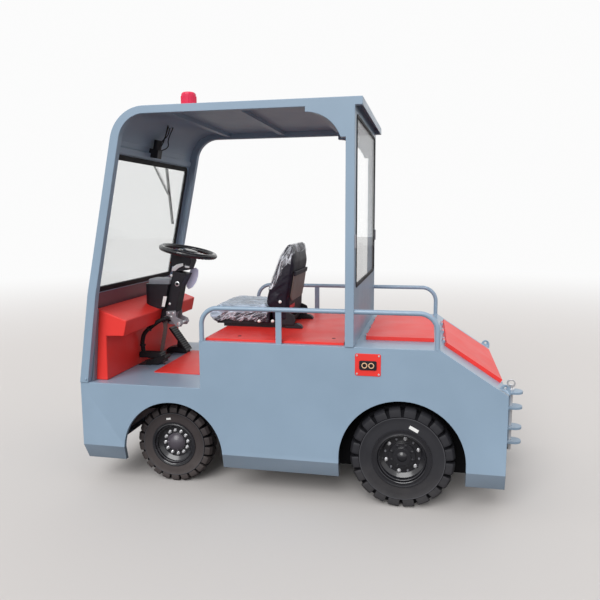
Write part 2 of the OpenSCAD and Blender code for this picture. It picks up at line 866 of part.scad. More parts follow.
// The base plate, wider than the tongues, with gussets between them beside the pin
module hitch_plates() {
    color("#8fa3b8") {
        block([-body_rear - base_t, -tongue_w / 2 - 20, 180], [-body_rear, tongue_w / 2 + 20, 525]);
        for (z = TONGUE_Z)
            difference() {
                union() {
                    translate([-(hitch_tip - tongue_w / 2), 0, z]) cylinder(d = tongue_w, h = tongue_t);
                    block([-(hitch_tip - tongue_w / 2), -tongue_w / 2, z], [-body_rear - base_t, tongue_w / 2, z + tongue_t]);
                }
                translate([-pin_x, 0, z - 1]) cylinder(d = pin_d + 2 * pin_play, h = tongue_t + 2);
            }
        for (z = [for (i = [0:3]) TONGUE_Z[i] + tongue_t])
            both_sides()
                xz_plate(tongue_w / 2 - 10, 10)
                    polygon([[-body_rear - base_t, z], [-body_rear - base_t - 16, z], [-body_rear - base_t, z + 21]]);
    }
}

pin_low = 154;

module hitch_pin() {
    color("#b9bcc0") {
        translate([-pin_x, 0, pin_low]) cylinder(d = pin_d, h = TONGUE_Z[3] + tongue_t + 34 - pin_low);
        // The collar that rests on the top plate, and the ring to pull it out
        translate([-pin_x, 0, TONGUE_Z[3] + tongue_t + seat_gap]) cylinder(d = pin_d + 16, h = 10);
        translate([-pin_x, 4, TONGUE_Z[3] + tongue_t + 40]) rotate([90, 0, 0])
            difference() {
                cylinder(r = 24, h = 8);
                translate([0, 0, -1]) cylinder(r = 16, h = 10);
            }
    }
}

// Running gear

kingpin_r = 12;
eye_r = 28;
eye_h = 56;

// Section of the axle beam: two flanges and a web
module beam_section() {
    for (z = [-eye_h / 2 + 1, eye_h / 2 - 12]) translate([-30, z]) square([60, 11]);
    translate([-7, -eye_h / 2 + 1]) square([14, eye_h - 2]);
}

module front_axle() {
    color("#2b2d30") {
        difference() {
            union() {
                translate([wheelbase, 0, front_r])
                    xz_plate(-kingpin_y + 15, 2 * kingpin_y - 30) beam_section();
                for (y = [-kingpin_y, kingpin_y])
                    translate([wheelbase, y, front_r - eye_h / 2]) cylinder(r = eye_r, h = eye_h);
            }
            for (y = [-kingpin_y, kingpin_y])
                translate([wheelbase, y, front_r - eye_h]) cylinder(r = kingpin_r + 0.05, h = 2 * eye_h);
        }
        // Saddles up to the frame rails
        both_sides()
            block([wheelbase - 40, rail_frame_y, front_r + eye_h / 2 - 2],
                  [wheelbase + 40, rail_frame_y + rail_frame_w, rail_frame_low]);
    }
}

yoke_t = 16;
yoke_play = 1;
stub_r = 22;
// How far the end of the stub axle lies behind the wheel's outer face
stub_back = 40;

module knuckle(s) {
    color("#3a3c40") on_side(s)
        translate([wheelbase, 0, front_r]) {
            translate([0, kingpin_y, -eye_h / 2 - yoke_t - 6]) cylinder(r = kingpin_r, h = eye_h + 2 * yoke_t + 12);
            for (z = [-eye_h / 2 - yoke_play - yoke_t, eye_h / 2 + yoke_play])
                translate([0, kingpin_y, z]) {
                    cylinder(r = 26, h = yoke_t);
                    translate([-26, 0, 0]) cube([52, 46, yoke_t]);
                }
            block([-26, kingpin_y + 32, -eye_h / 2 - yoke_play - yoke_t], [26, kingpin_y + 46, eye_h / 2 + yoke_play + yoke_t]);
            y_cylinder(0, kingpin_y + 46, 0, stub_r, front_face_y - stub_back - kingpin_y - 46);
            // Steering arm, straight back under the axle
            block([-arm_l, kingpin_y - 14, -eye_h / 2 - yoke_play - yoke_t], [0, kingpin_y + 14, -eye_h / 2 - yoke_play]);
            translate([-arm_l, kingpin_y, -eye_h / 2 - yoke_play - yoke_t]) cylinder(r = 18, h = yoke_t);
            translate([-arm_l, kingpin_y, -eye_h / 2 - yoke_play - yoke_t - 24]) cylinder(r = 8, h = 30);
        }
}

module track_rod() {
    z = front_r - eye_h / 2 - yoke_play - yoke_t - 12;
    color("#3a3c40")
        difference() {
            union() {
                y_cylinder(wheelbase - arm_l, -kingpin_y + 10, z, 11, 2 * kingpin_y - 20);
                for (y = [-kingpin_y, kingpin_y])
                    translate([wheelbase - arm_l, y, z - 9]) cylinder(r = 18, h = 18);
            }
            for (y = [-kingpin_y, kingpin_y])
                translate([wheelbase - arm_l, y, z - 20]) cylinder(r = 8.05, h = 40);
        }
}

// Outer face of the brake plates, just inside the rear tyres
drum_face = rear_face_y - rear_tyre_w - 6;
shaft_r = 30;
axle_tube_r = 48;
shaft_back = 100;

module drive_axle() {
    color("#2b2d30") {
        // Tubes that swell to the housing of the differential, with the brake back plates at their ends
        translate([0, 0, rear_r]) rotate([90, 0, 0])
            rotate_extrude($fn = 72)
                polygon([
                    [0, -drum_face], [115, -drum_face], [115, -drum_face + 16], [80, -drum_face + 40],
                    [axle_tube_r, -drum_face + 40], [axle_tube_r, -148], [112, -70], [112, 70], [axle_tube_r, 148],
                    [axle_tube_r, drum_face - 40], [80, drum_face - 40], [115, drum_face - 16], [115, drum_face],
                    [0, drum_face]
                ]);
        both_sides() y_cylinder(0, drum_face - 1, rear_r, shaft_r, rear_face_y - shaft_back - drum_face + 1);
        // Cover at the rear, and the motor with its end plate ahead of the axle
        translate([-126, 0, rear_r]) rotate([0, 90, 0]) cylinder(r1 = 62, r2 = 96, h = 60);
        translate([60, 0, rear_r + 10]) rotate([0, 90, 0]) cylinder(r = 105, h = 226);
        translate([284, 0, rear_r + 10]) rotate([0, 90, 0]) cylinder(r1 = 105, r2 = 60, h = 18);
    }
}

spring_w = 60;
spring_y = drum_face - 70 - spring_w;

module leaf_springs() {
    color("#232427") both_sides() {
        for (i = [0:3])
            block([-290 + 55 * i, spring_y, rear_r + 50 + 10 * i],
                  [290 - 55 * i, spring_y + spring_w, rear_r + 60 + 10 * i]);
        // Clamp on the axle and hangers from the frame rails
        block([-45, spring_y - 7, rear_r + axle_tube_r + seat_gap], [45, spring_y + spring_w + 7, rear_r + 50]);
        for (x = [-290, 250])
            block([x, rail_frame_y + rail_frame_w, rear_r + 60], [x + 40, spring_y + spring_w, rear_r + 110]);
    }
}

battery_low = [345, -390, rail_frame_high];
battery_high = [985, 390, 800];

module battery() {
    color("#34383c") block(battery_low, battery_high);
}

// Wheels

rim_wall = 8;
rim_lip = 10;
disc_t = 10;
axle_play = 0.05;

// Where the tread's shoulder starts on the sidewall, as a share of the radius
ring_share = 0.82;

// A groove in a shoulder, wide at the tread and narrow at the ring on the sidewall, and as deep
// along its whole run
module groove(r, w) {
    rib = w * rib_share;
    intersection() {
        translate([0, 0, -w / 2 + rib / 2])
            linear_extrude(w)
                polygon([[ring_share * r, -3], [r + 5, -9], [r + 5, 9], [ring_share * r, 3]]);
        rotate([90, 0, 0])
            linear_extrude(40, center = true)
                polygon([
                    [ring_share * r, 1], [ring_share * r, -1], [r - groove_depth - 12, -8], [r - groove_depth, -22],
                    [r - groove_depth, -w / 2 + rib / 2], [r + 5, -w / 2 + rib / 2], [r + 5, 5], [ring_share * r, 5]
                ]);
    }
}

// A tyre with its outer face at z = 0 and its body below, in the wheel's own frame. Grooves cut both
// shoulders, those inside half a pitch on from those outside
module tyre(r, w, rim_r, grooves) {
    pitch = 360 / grooves;
    difference() {
        rotate_extrude($fn = 48)
            polygon([
                [rim_r, 0], [r * ring_share, 0], [r - 9, -5], [r, -18],
                [r, -w + 18], [r - 9, -w + 5], [r * ring_share, -w], [rim_r, -w]
            ]);
        for (i = [0:grooves - 1]) {
            rotate([0, 0, i * pitch]) groove(r, w);
            translate([0, 0, -w]) mirror([0, 0, 1]) rotate([0, 0, (i + 0.5) * pitch]) groove(r, w);
        }
    }
}

// A dished rim with its hub, in the same frame: the disc lies back from the outer face, and the hub
// runs on an axle of bore_r that reaches up to axle_end. steps are the hub's two steps, as [radius, top]
module rim(rim_r, w, disc_z, steps, hub_in, cap_r, cap_h, bore_r, axle_end) {
    inside = rim_r - rim_wall;
    dome_r = (cap_r * cap_r + cap_h * cap_h) / (2 * cap_h);
    difference() {
        union() {
            // Hub and disc, dished up to the barrel
            rotate_extrude($fn = 72)
                polygon([
                    [0, hub_in], [steps[0][0], hub_in], [steps[0][0], disc_z - disc_t], [inside - 20, disc_z - disc_t],
                    [inside + 1, disc_z + 14 - disc_t], [inside + 1, disc_z + 14], [inside - 22, disc_z],
                    [steps[0][0], disc_z], steps[0], [steps[1][0], steps[0][1]], steps[1], [0, steps[1][1]]
                ]);
            // Barrel, with a lip rolled out at each end
            rotate_extrude($fn = 72)
                translate([inside, rim_lip - w]) square([rim_wall - seat_gap, w - 2 * rim_lip]);
            for (z = [-rim_lip, rim_lip - w])
                rotate_extrude($fn = 72) translate([inside - 1, z]) circle(r = 5, $fn = 24);
            // Domed cap
            intersection() {
                translate([0, 0, steps[1][1] + cap_h - dome_r]) sphere(dome_r, $fn = 96);
                translate([0, 0, steps[1][1] - 2]) cylinder(r = cap_r, h = cap_h + 4);
            }
        }
        translate([0, 0, -w]) cylinder(r = bore_r + axle_play, h = w + axle_end + 1);
    }
}

module wheel_at(x, y, z) {
    translate([x, y, z]) rotate([-90, 0, 0]) children();
}

module front_tyre(s) {
    color("#26262a") on_side(s) wheel_at(wheelbase, front_face_y, front_r)
        tyre(front_r, front_tyre_w, front_rim_r, front_grooves);
}

module rear_tyre(s) {
    color("#26262a") on_side(s) wheel_at(0, rear_face_y, rear_r)
        tyre(rear_r, rear_tyre_w, rear_rim_r, rear_grooves);
}

module front_rim(s) {
    color("#303236") on_side(s) wheel_at(wheelbase, front_face_y, front_r)
        rim(front_rim_r, front_tyre_w, -42, [[54, -34], [50, -28]], -100, 50, 22, stub_r, -stub_back);
}

module rear_rim(s) {
    color("#303236") on_side(s) wheel_at(0, rear_face_y, rear_r)
        rim(rear_rim_r, rear_tyre_w, -60, [[68, -40], [46, -26]], -rear_tyre_w, 26, 10, shaft_r, -shaft_back);
}

SPOKE_A = [90, 180, 270];

// The wheel, with a padded middle and three spokes that dish down from the rim
module steering_wheel() {
    color("#1f2022") on_wheel() {
        rotate_extrude($fn = 72) translate([wheel_d / 2 - 14, 0]) circle(14);
        translate([0, 0, seat_gap - hub_l]) cylinder(r = 34, h = 8);
        translate([0, 0, seat_gap - hub_l + 8]) cylinder(r1 = 34, r2 = 52, h = 14);
        translate([0, 0, seat_gap - hub_l + 22]) cylinder(r1 = 52, r2 = 40, h = 8);
        for (a = SPOKE_A)
            rotate([0, 0, a]) {
                translate([30, -16, -20]) cube([60, 32, 10]);
                xz_plate(-16, 32) polygon([[85, -20], [wheel_d / 2 - 16, -8], [wheel_d / 2 - 16, 2], [85, -10]]);
            }
    }
}

// Lids and seat

lid_skin = 3;

// A lid folded from sheet: a tray turned upside down
module lid(low, high, t) {
    difference() {
        block([low[0], low[1], seat_gap], [high[0], high[1], t]);
        block([low[0] + lid_skin, low[1] + lid_skin, -1], [high[0] - lid_skin, high[1] - lid_skin, t - lid_skin]);
    }
}

deck_lid_low = 302;
deck_lid_high = 1045;

module deck_lid() {
    color("#e23c32") translate([0, 0, deck_z]) {
        lid([deck_lid_low, -deck_lid_half], [deck_lid_high, deck_lid_half], deck_lid_t);
        translate([deck_lid_low - hinge_out, 0, hinge_up]) mirror([1, 0, 0]) hinge_row(deck_lid_half) hinge_moving();
    }
}

module rear_lid() {
    color("#e23c32") translate([0, 0, deck_z]) {
        lid([rear_lid_low, -rear_lid_half], [rear_lid_high, rear_lid_half], rear_lid_t);
        translate([rear_lid_high + hinge_out, 0, hinge_up]) hinge_row(rear_lid_half) hinge_moving();
    }
}

module slope_lid() {
    color("#e23c32") on_slope() {
        lid([-slope_l + slope_lid_low, -rear_lid_half], [-slope_lid_top, rear_lid_half], rear_lid_t);
        translate([-slope_lid_top + hinge_out, 0, hinge_up]) hinge_row(rear_lid_half) hinge_moving();
    }
}

seat_z = deck_z + deck_lid_t;
frame_z = seat_z + seat_rise;
// Where the cushion ends and the back rest's foot begins
seat_end = seat_nose - seat_depth - 4;

// The seat's frame: two runners on the lid and the pan on them
module seat_base() {
    color("#1f2022") {
        for (y = [-170, 130])
            block([seat_end - 100, y, seat_z], [seat_nose - 80, y + 40, seat_z + 22]);
        block([seat_end - 90, -190, seat_z + 20], [seat_nose - 46, 190, frame_z]);
    }
}

module seat_cushion() {
    color("#26262a")
        xz_plate(-seat_w / 2, seat_w)
            polygon([
                [seat_end + 6, frame_z], [seat_nose - 40, frame_z], [seat_nose - 4, frame_z + 22],
                [seat_nose, frame_z + 36], [seat_nose - 20, frame_z + 58], [seat_nose - 60, frame_z + cushion_h + 2],
                [seat_end + 90, frame_z + cushion_h - 4], [seat_end + 35, frame_z + cushion_h + 15.5],
                [seat_end + 1.5, frame_z + 49]
            ]);
}

module seat_back() {
    rear = seat_end - back_d;
    color("#26262a")
        xz_plate(-seat_w / 2, seat_w)
            polygon([
                [rear + 42, frame_z], [seat_end, frame_z], [seat_end, frame_z + 50],
                [seat_end + 34, frame_z + cushion_h + 17], [seat_end + 16, back_top - 257],
                [seat_end - 49, back_top - 83], [seat_end - 94, back_top - 8], [seat_end - 106, back_top],
                [rear + 8, back_top - 18], [rear, back_top - 110], [rear + 34, back_top - 320]
            ]);
}

in_frame() chassis_frame();
in_frame() side_panel(1);  // side_panel_left
in_frame() side_panel(-1);  // side_panel_right
in_frame() front_plate();
in_frame() rear_plate();
in_frame() floor_plate();
in_frame() floor_hatch();
in_frame() seat_box();
in_frame() rear_deck();
in_frame() dash();
in_frame() cab_side(1);  // cab_side_left
in_frame() cab_side(-1);  // cab_side_right
in_frame() roof();
in_frame() screen_panel();
in_frame() windscreen();
in_frame() rear_wall();
in_frame() rear_glass();
in_frame() side_rails();
in_frame() beacon_base();
in_frame() beacon_lens();
in_frame() wiper();
in_frame() steering_column();
in_frame() instrument_pod();
in_frame() pedals();
in_frame() socket_plate();
in_frame() charge_socket();
in_frame() headlamps();
in_frame() tail_lamps();
in_frame() hitch_plates();
in_frame() hitch_pin();
in_frame() front_axle();
in_frame() drive_axle();
in_frame() leaf_springs();
in_frame() battery();
in_frame() knuckle(1);  // knuckle_left
in_frame() knuckle(-1);  // knuckle_right
in_frame() track_rod();
in_frame() steering_wheel();
in_frame() front_tyre(1);  // tyre_front_left
in_frame() front_tyre(-1);  // tyre_front_right
in_frame() rear_tyre(1);  // tyre_rear_left
in_frame() rear_tyre(-1);  // tyre_rear_right
in_frame() front_rim(1);  // rim_front_left
in_frame() front_rim(-1);  // rim_front_right
in_frame() rear_rim(1);  // rim_rear_left
in_frame() rear_rim(-1);  // rim_rear_right
in_frame() deck_lid();
in_frame() seat_base();
in_frame() seat_cushion();
in_frame() seat_back();
in_frame() rear_lid();
in_frame() slope_lid();
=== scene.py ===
# %% [markdown]
# # Dressing a baggage tug
# The solids of this small electric tractor come from its CAD model. This notebook gives them paint,
# rubber, glass and steel, and adds what the CAD model leaves out: wheel nuts, tread, window rubbers,
# wires and the padded seat under its film. Everything stands in metres, in the frame of the CAD
# model, so that a piece goes where the drawing says.

# %% Load the solids
import json
import math
from collections import namedtuple

import bpy
from mathutils import Matrix, Vector, noise


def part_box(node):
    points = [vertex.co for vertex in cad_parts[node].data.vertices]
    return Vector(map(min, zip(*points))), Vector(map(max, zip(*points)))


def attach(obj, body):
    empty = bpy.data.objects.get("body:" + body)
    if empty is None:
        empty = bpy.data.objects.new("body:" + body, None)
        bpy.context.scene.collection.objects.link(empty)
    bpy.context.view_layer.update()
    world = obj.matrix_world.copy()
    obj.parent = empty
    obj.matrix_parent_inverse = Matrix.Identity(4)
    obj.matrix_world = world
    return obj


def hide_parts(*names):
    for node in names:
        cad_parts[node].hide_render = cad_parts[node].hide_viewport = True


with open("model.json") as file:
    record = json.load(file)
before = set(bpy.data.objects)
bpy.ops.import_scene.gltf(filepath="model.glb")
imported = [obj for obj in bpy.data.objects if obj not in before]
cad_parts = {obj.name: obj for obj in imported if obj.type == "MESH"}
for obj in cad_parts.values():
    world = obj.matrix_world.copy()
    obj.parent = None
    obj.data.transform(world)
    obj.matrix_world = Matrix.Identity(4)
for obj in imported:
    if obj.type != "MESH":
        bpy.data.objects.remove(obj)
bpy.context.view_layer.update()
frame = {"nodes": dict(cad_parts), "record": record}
SIDES = (("left", 1), ("right", -1))


# %% [markdown]
# The drawing counts millimetres from a point on the ground below the rear axle, with X forward and Y
# to the driver's left. The frame's own origin lies further forward, in the middle of the footprint.
# One small function turns a place of the drawing into a place of the scene, and one turns it back, so
# that the numbers below are the ones that a maker would measure on the real tractor.

# %% Places in millimetres
AXLE_TO_MIDDLE = 560
MM = 0.001


def at(x, y, z):
    return Vector((x - AXLE_TO_MIDDLE, y, z)) * MM


def drawn(place):
    return place / MM + Vector((AXLE_TO_MIDDLE, 0, 0))


print("ground below the rear axle:", [round(v, 3) for v in at(0, 0, 0)])

# %% [markdown]
# The camera stands where the photographer stood: beside the tractor, a little behind its middle, at
# eye height. The lens was found by fitting the drawing's edges to the picture.

# %% Camera
EYE = (-0.672, 3.602, 1.500)
TURNED, TILTED, ROLLED = 11.81, 7.79, 0.286
bpy.ops.object.camera_add(location=EYE)
camera = bpy.context.object
camera.matrix_world = (
    Matrix.Translation(EYE)
    @ Matrix.Rotation(math.radians(180 + TURNED), 4, "Z")
    @ Matrix.Rotation(math.radians(90 - TILTED), 4, "X")
    @ Matrix.Rotation(math.radians(-ROLLED), 4, "Z")
)
camera.data.lens = 37.015
camera.data.sensor_width = 36
camera.data.clip_end = 200
bpy.context.scene.camera = camera
bpy.context.scene.view_settings.view_transform = "Standard"
print("lens:", camera.data.lens)

# %% [markdown]
# The sky and every finish are made of nodes. One helper gives the inputs of a node their values, or
# wires them to a pair of another node and its output. One adds a node with its settings and inputs.

# %% Helpers for nodes


def feed(tree, node, entries):
    for title, value in entries.items():
        if isinstance(value, tuple) and isinstance(value[0], bpy.types.Node):
            tree.links.new(value[0].outputs[value[1]], node.inputs[title])
        else:
            node.inputs[title].default_value = value


def add(tree, kind, entries, **settings):
    node = tree.nodes.new("ShaderNode" + kind)
    for key, value in settings.items():
        setattr(node, key, value)
    feed(tree, node, entries)
    return node


def maths(tree, operation, first, second):
    return add(tree, "Math", {0: first, 1: second}, operation=operation)


def new_material(name):
    made = bpy.data.materials.new(name)
    made.use_nodes = True
    return made, made.node_tree, made.node_tree.nodes["Principled BSDF"]


print("helpers for nodes ready")

# %% [markdown]
# The real tractor stands outdoors under a bright, cloudy sky. The world is one even soft light, and
# a very wide sun adds a little form from above and in front. A camera ray that misses everything
# sees plain white, and so do reflections and glass, without more light on the paint.

# %% World and sun
SKY_LIGHT = 0.80
SKY_SEEN = 0.97
world = bpy.data.worlds.new("cloudy_sky")
bpy.context.scene.world = world
world.use_nodes = True
sky = world.node_tree
sky.nodes.clear()
rays = add(sky, "LightPath", {})
seen = maths(sky, "MAXIMUM", (rays, "Is Camera Ray"), (rays, "Is Glossy Ray"))
seen_too = maths(sky, "MAXIMUM", (seen, 0), (rays, "Is Transmission Ray"))
strength = add(sky, "MapRange", {"Value": (seen_too, 0), "To Min": SKY_LIGHT, "To Max": SKY_SEEN})
glow = add(sky, "Background", {"Color": (1, 1, 1, 1), "Strength": (strength, "Result")})
add(sky, "OutputWorld", {"Surface": (glow, 0)})

bpy.ops.object.light_add(type="SUN", rotation=(math.radians(-52), math.radians(14), 0))
sun = bpy.context.object
sun.name = "veiled_sun"
sun.data.energy = 2.0
sun.data.angle = math.radians(40)
print("sky:", SKY_LIGHT, "sun:", sun.data.energy)

# %% [markdown]
# The floor is pale concrete. Far from the tractor it fades to the white of the sky, by its own
# distance from the middle, so that no horizon cuts through the picture. It is pale for the camera
# only: a darker tone for all other rays keeps the underside of roof and skirt as dark as outdoors,
# where the ground below a vehicle lies in its shadow.

# %% Floor
FLOOR_RADIUS = 40
FADE_FROM, FADE_TO = 3.5, 14
FLOOR_SEEN = (0.60, 0.575, 0.56, 1)
FLOOR_FOR_LIGHT = (0.16, 0.15, 0.145, 1)
bpy.ops.mesh.primitive_circle_add(vertices=64, radius=FLOOR_RADIUS, fill_type="NGON", location=(0, 0, 0))
ground = bpy.context.object
ground.name = "floor"

concrete, tree, shader = new_material("pale_concrete")
place = add(tree, "TexCoord", {})
reach = add(tree, "VectorMath", {0: (place, "Object")}, operation="LENGTH")
fade = add(tree, "MapRange", {
    "Value": (reach, "Value"), "From Min": FADE_FROM, "From Max": FADE_TO}, interpolation_type="SMOOTHSTEP")
rays = add(tree, "LightPath", {})
shown = maths(tree, "MULTIPLY", (fade, "Result"), (rays, "Is Camera Ray"))
tint = add(tree, "Mix", {
    "Factor": (rays, "Is Camera Ray"), "A": FLOOR_FOR_LIGHT, "B": FLOOR_SEEN}, data_type="RGBA")
far = add(tree, "Emission", {"Strength": SKY_SEEN})
blend = add(tree, "MixShader", {"Fac": (shown, 0), 1: (shader, 0), 2: (far, 0)})
feed(tree, shader, {"Roughness": 0.9, "Base Color": (tint, "Result")})
feed(tree, tree.nodes["Material Output"], {"Surface": (blend, 0)})
ground.data.materials.append(concrete)
print("floor radius:", FLOOR_RADIUS)

# %% [markdown]
# ## Effects that several finishes share
# Real paint and rubber are never one flat colour. Three effects are enough for the whole tractor: a
# slow drift of the tone, dust that gathers towards the ground, and a fine uneven surface. Each is
# built once as a node group, with its values as inputs, and then placed in the materials.

# %% Helpers for an effect
KIND = {"color": "NodeSocketColor", "value": "NodeSocketFloat", "vector": "NodeSocketVector"}


def new_effect(name, inputs, outputs):
    tree = bpy.data.node_groups.new(name, "ShaderNodeTree")
    for title, kind, start in inputs:
        socket = tree.interface.new_socket(name=title, in_out="INPUT", socket_type=KIND[kind])
        socket.default_value = start
    for title, kind in outputs:
        tree.interface.new_socket(name=title, in_out="OUTPUT", socket_type=KIND[kind])
    return tree, tree.nodes.new("NodeGroupInput"), tree.nodes.new("NodeGroupOutput")


def object_noise(tree, detail=3.0, rough=0.55, **entries):
    """Noise on the piece's own coordinates, or on the Vector that is given"""
    if "Vector" not in entries:
        entries["Vector"] = (add(tree, "TexCoord", {}), "Object")
    return add(tree, "TexNoise", {"Detail": detail, "Roughness": rough, **entries})


def bumped(tree, source, strength, distance=0.001):
    """The normal that follows a group's height"""
    relief = add(tree, "Bump", {"Strength": strength, "Distance": distance, "Height": (source, "Height")})
    return relief, "Normal"


# %% Slow drift of the tone
drift, given, result = new_effect(
    "tone drift",
    [("Color", "color", (1, 1, 1, 1)), ("Scale", "value", 3.0), ("Amount", "value", 0.05)],
    [("Color", "color")],
)
grain = object_noise(drift, Scale=(given, "Scale"))
low = maths(drift, "SUBTRACT", 1.0, (given, "Amount"))
high = maths(drift, "ADD", 1.0, (given, "Amount"))
swing = add(drift, "MapRange", {
    "Value": (grain, "Fac"), "From Min": 0.3, "From Max": 0.7, "To Min": (low, 0), "To Max": (high, 0)})
tone = add(drift, "HueSaturation", {"Value": (swing, "Result"), "Color": (given, "Color")})
feed(drift, result, {"Color": (tone, "Color")})
print("effect:", drift.name)

# %% Dust that gathers low down
dust, given, result = new_effect(
    "road dust",
    [
        ("Color", "color", (1, 1, 1, 1)), ("Dust", "color", (0.30, 0.27, 0.24, 1)),
        ("Clean Above", "value", 0.45), ("Full Below", "value", 0.1), ("Amount", "value", 0.3),
    ],
    [("Color", "color")],
)
where = add(dust, "TexCoord", {})
split = add(dust, "SeparateXYZ", {0: (where, "Object")})
fall = add(dust, "MapRange", {
    "Value": (split, "Z"), "From Min": (given, "Clean Above"), "From Max": (given, "Full Below"),
}, interpolation_type="SMOOTHSTEP")
grain = object_noise(dust, detail=6.0, rough=0.65, Scale=14.0)
patches = add(dust, "MapRange", {
    "Value": (grain, "Fac"), "From Min": 0.35, "From Max": 0.7, "To Min": 0.35})
both = maths(dust, "MULTIPLY", (fall, "Result"), (patches, "Result"))
share = maths(dust, "MULTIPLY", (both, 0), (given, "Amount"))
cover = add(dust, "Mix", {
    "Factor": (share, 0), "A": (given, "Color"), "B": (given, "Dust")}, data_type="RGBA")
feed(dust, result, {"Color": (cover, "Result")})
print("effect:", dust.name)

# %% Fine uneven surface
uneven, given, result = new_effect(
    "fine surface",
    [("Scale", "value", 200.0), ("Low", "value", 0.3), ("High", "value", 0.5)],
    [("Height", "value"), ("Gloss", "value")],
)
grain = object_noise(uneven, detail=4.0, Scale=(given, "Scale"))
wide = object_noise(uneven, detail=2.0, Scale=6.0)
span = add(uneven, "MapRange", {
    "Value": (wide, "Fac"), "From Min": 0.3, "From Max": 0.7,
    "To Min": (given, "Low"), "To Max": (given, "High")})
feed(uneven, result, {"Height": (grain, "Fac"), "Gloss": (span, "Result")})
print("effect:", uneven.name)

# %% [markdown]
# ## Finishes
# Every opaque finish is built the same way: its own colour runs through the drift and the dust, its
# gloss and its bump come from the fine surface, and the rest are plain values on the shader. Glass
# and lenses are made apart, because they pass light.

# %% A helper that builds an opaque finish


def finish(name, color, gloss, metallic=0.0, coat=0.0, drifts=0.05, dusty=0.0, bump=0.05, scale=220.0,
           clean=0.45, shine=0.5):
    """gloss is the roughness at its glossiest and dullest, clean the height in metres where dust ends"""
    made, tree, shader = new_material(name)
    tones = add(tree, "Group", {"Color": (*color, 1), "Amount": drifts}, node_tree=drift)
    settled = add(tree, "Group", {
        "Color": (tones, "Color"), "Amount": dusty, "Clean Above": clean}, node_tree=dust)
    surface = add(tree, "Group", {"Scale": scale, "Low": gloss[0], "High": gloss[1]}, node_tree=uneven)
    feed(tree, shader, {
        "Base Color": (settled, "Color"), "Roughness": (surface, "Gloss"), "Metallic": metallic,
        "Specular IOR Level": shine, "Coat Weight": coat, "Coat Roughness": 0.12,
        "Normal": bumped(tree, surface, bump)})
    return made


# %% Paints, rubber, plastics and metals
body_paint = finish(
    "blue_grey_paint", (0.265, 0.365, 0.475), (0.32, 0.45), coat=0.2, drifts=0.03, dusty=0.05, bump=0.06)
# painted shade: the darker blue-grey below the fold stands for the shade there, with real dust on top
skirt_painted_shade = finish(
    "blue_grey_paint_below", (0.165, 0.215, 0.275), (0.32, 0.45), coat=0.2, drifts=0.03, dusty=0.12,
    bump=0.06)
# painted shade: the filler's blue-grey is darkened to the tone that it has in shade
filler_painted_shade = finish("shaded_blue_grey_paint", (0.17, 0.165, 0.21), (0.35, 0.5), bump=0.06)
red_paint = finish("red_paint", (0.82, 0.034, 0.026), (0.40, 0.52), coat=0.06, drifts=0.04, bump=0.06)
# painted shade: red paint darkened to the dull tone that it has in the shade inside the cab
red_with_painted_shade = finish("shaded_red_paint", (0.19, 0.080, 0.098), (0.35, 0.5), coat=0.1, drifts=0.10)
chassis_paint = finish("black_chassis_paint", (0.022, 0.023, 0.026), (0.45, 0.65), dusty=0.5, bump=0.15)
# painted shade: the near-black matt of the wheel-well sheets stands for the shade in the wheel's space
wheel_well_painted_shade = finish("matt_black_paint", (0.005, 0.005, 0.006), (0.7, 0.85), bump=0.15, shine=0.15)
rim_paint = finish("black_rim_paint", (0.016, 0.016, 0.020), (0.18, 0.30), coat=0.4, bump=0.08)
hub_paint = finish("grey_hub_paint", (0.085, 0.075, 0.092), (0.28, 0.42), coat=0.2, bump=0.12)
battery_grey = finish("battery_case", (0.05, 0.055, 0.06), (0.5, 0.7), dusty=0.2)
tyre_rubber = finish(
    "tyre_rubber", (0.021, 0.021, 0.026), (0.50, 0.70), drifts=0.12, dusty=0.08, bump=0.35, clean=0.30,
    shine=0.42)
dusty_rubber = finish(
    "dusty_tyre_rubber", (0.046, 0.037, 0.038), (0.50, 0.70), drifts=0.2, dusty=0.10, bump=0.35, clean=0.30,
    shine=0.42)
# painted shade: the near-black rubber between the lugs stands for the shade in the gaps
gap_painted_shade = finish("tyre_rubber_in_gaps", (0.007, 0.007, 0.009), (0.7, 0.85), bump=0.2, shine=0.1)
# painted highlight: the paler rubber on the sidewall ring stands for the light that the ring catches
ring_painted_highlight = finish("tyre_rubber_ring", (0.060, 0.060, 0.068), (0.45, 0.6), drifts=0.2, bump=0.3)
black_rubber = finish("black_rubber", (0.010, 0.010, 0.012), (0.55, 0.7), bump=0.2, scale=400.0, shine=0.25)
black_plastic = finish(
    "black_plastic", (0.013, 0.013, 0.018), (0.35, 0.5), bump=0.25, scale=600.0, shine=0.32)
glossy_plastic = finish(
    "glossy_black_plastic", (0.013, 0.013, 0.016), (0.14, 0.26), coat=0.3, bump=0.1, scale=600.0)
pale_plastic = finish("pale_grey_plastic", (0.20, 0.21, 0.24), (0.4, 0.55), bump=0.15)
oval_white = finish("bluish_white_plastic", (0.70, 0.70, 0.92), (0.4, 0.55), bump=0.05)
beige_plastic = finish("beige_plastic", (0.80, 0.50, 0.30), (0.35, 0.5))
red_plastic = finish("red_plastic", (0.60, 0.02, 0.03), (0.35, 0.5))
seat_vinyl = finish("black_vinyl", (0.011, 0.008, 0.017), (0.38, 0.52), bump=0.5, scale=900.0, shine=0.25)
brown_pocket = finish("brown_grey_pocket", (0.17, 0.135, 0.118), (0.35, 0.5), bump=0.2, scale=500.0)
blank_label = finish("blank_white_label", (0.80, 0.80, 0.79), (0.45, 0.6), bump=0.05)
bright_steel = finish("zinc_plated_steel", (0.78, 0.78, 0.80), (0.22, 0.38), metallic=0.75, bump=0.1)
dull_steel = finish("grey_steel", (0.30, 0.30, 0.33), (0.4, 0.6), metallic=0.6, bump=0.2)
brown_steel = finish("bare_brown_steel", (0.12, 0.092, 0.090), (0.35, 0.5), metallic=0.3, bump=0.2)
print("finishes:", len(bpy.data.materials))

# %% [markdown]
# Window glass lets most of the light straight through and keeps only its reflection and a faint
# green. The lenses are coloured plastic that glows a little in daylight, because light comes in from
# all round, and the headlamps are milky clear glass.

# %% Glass and lenses


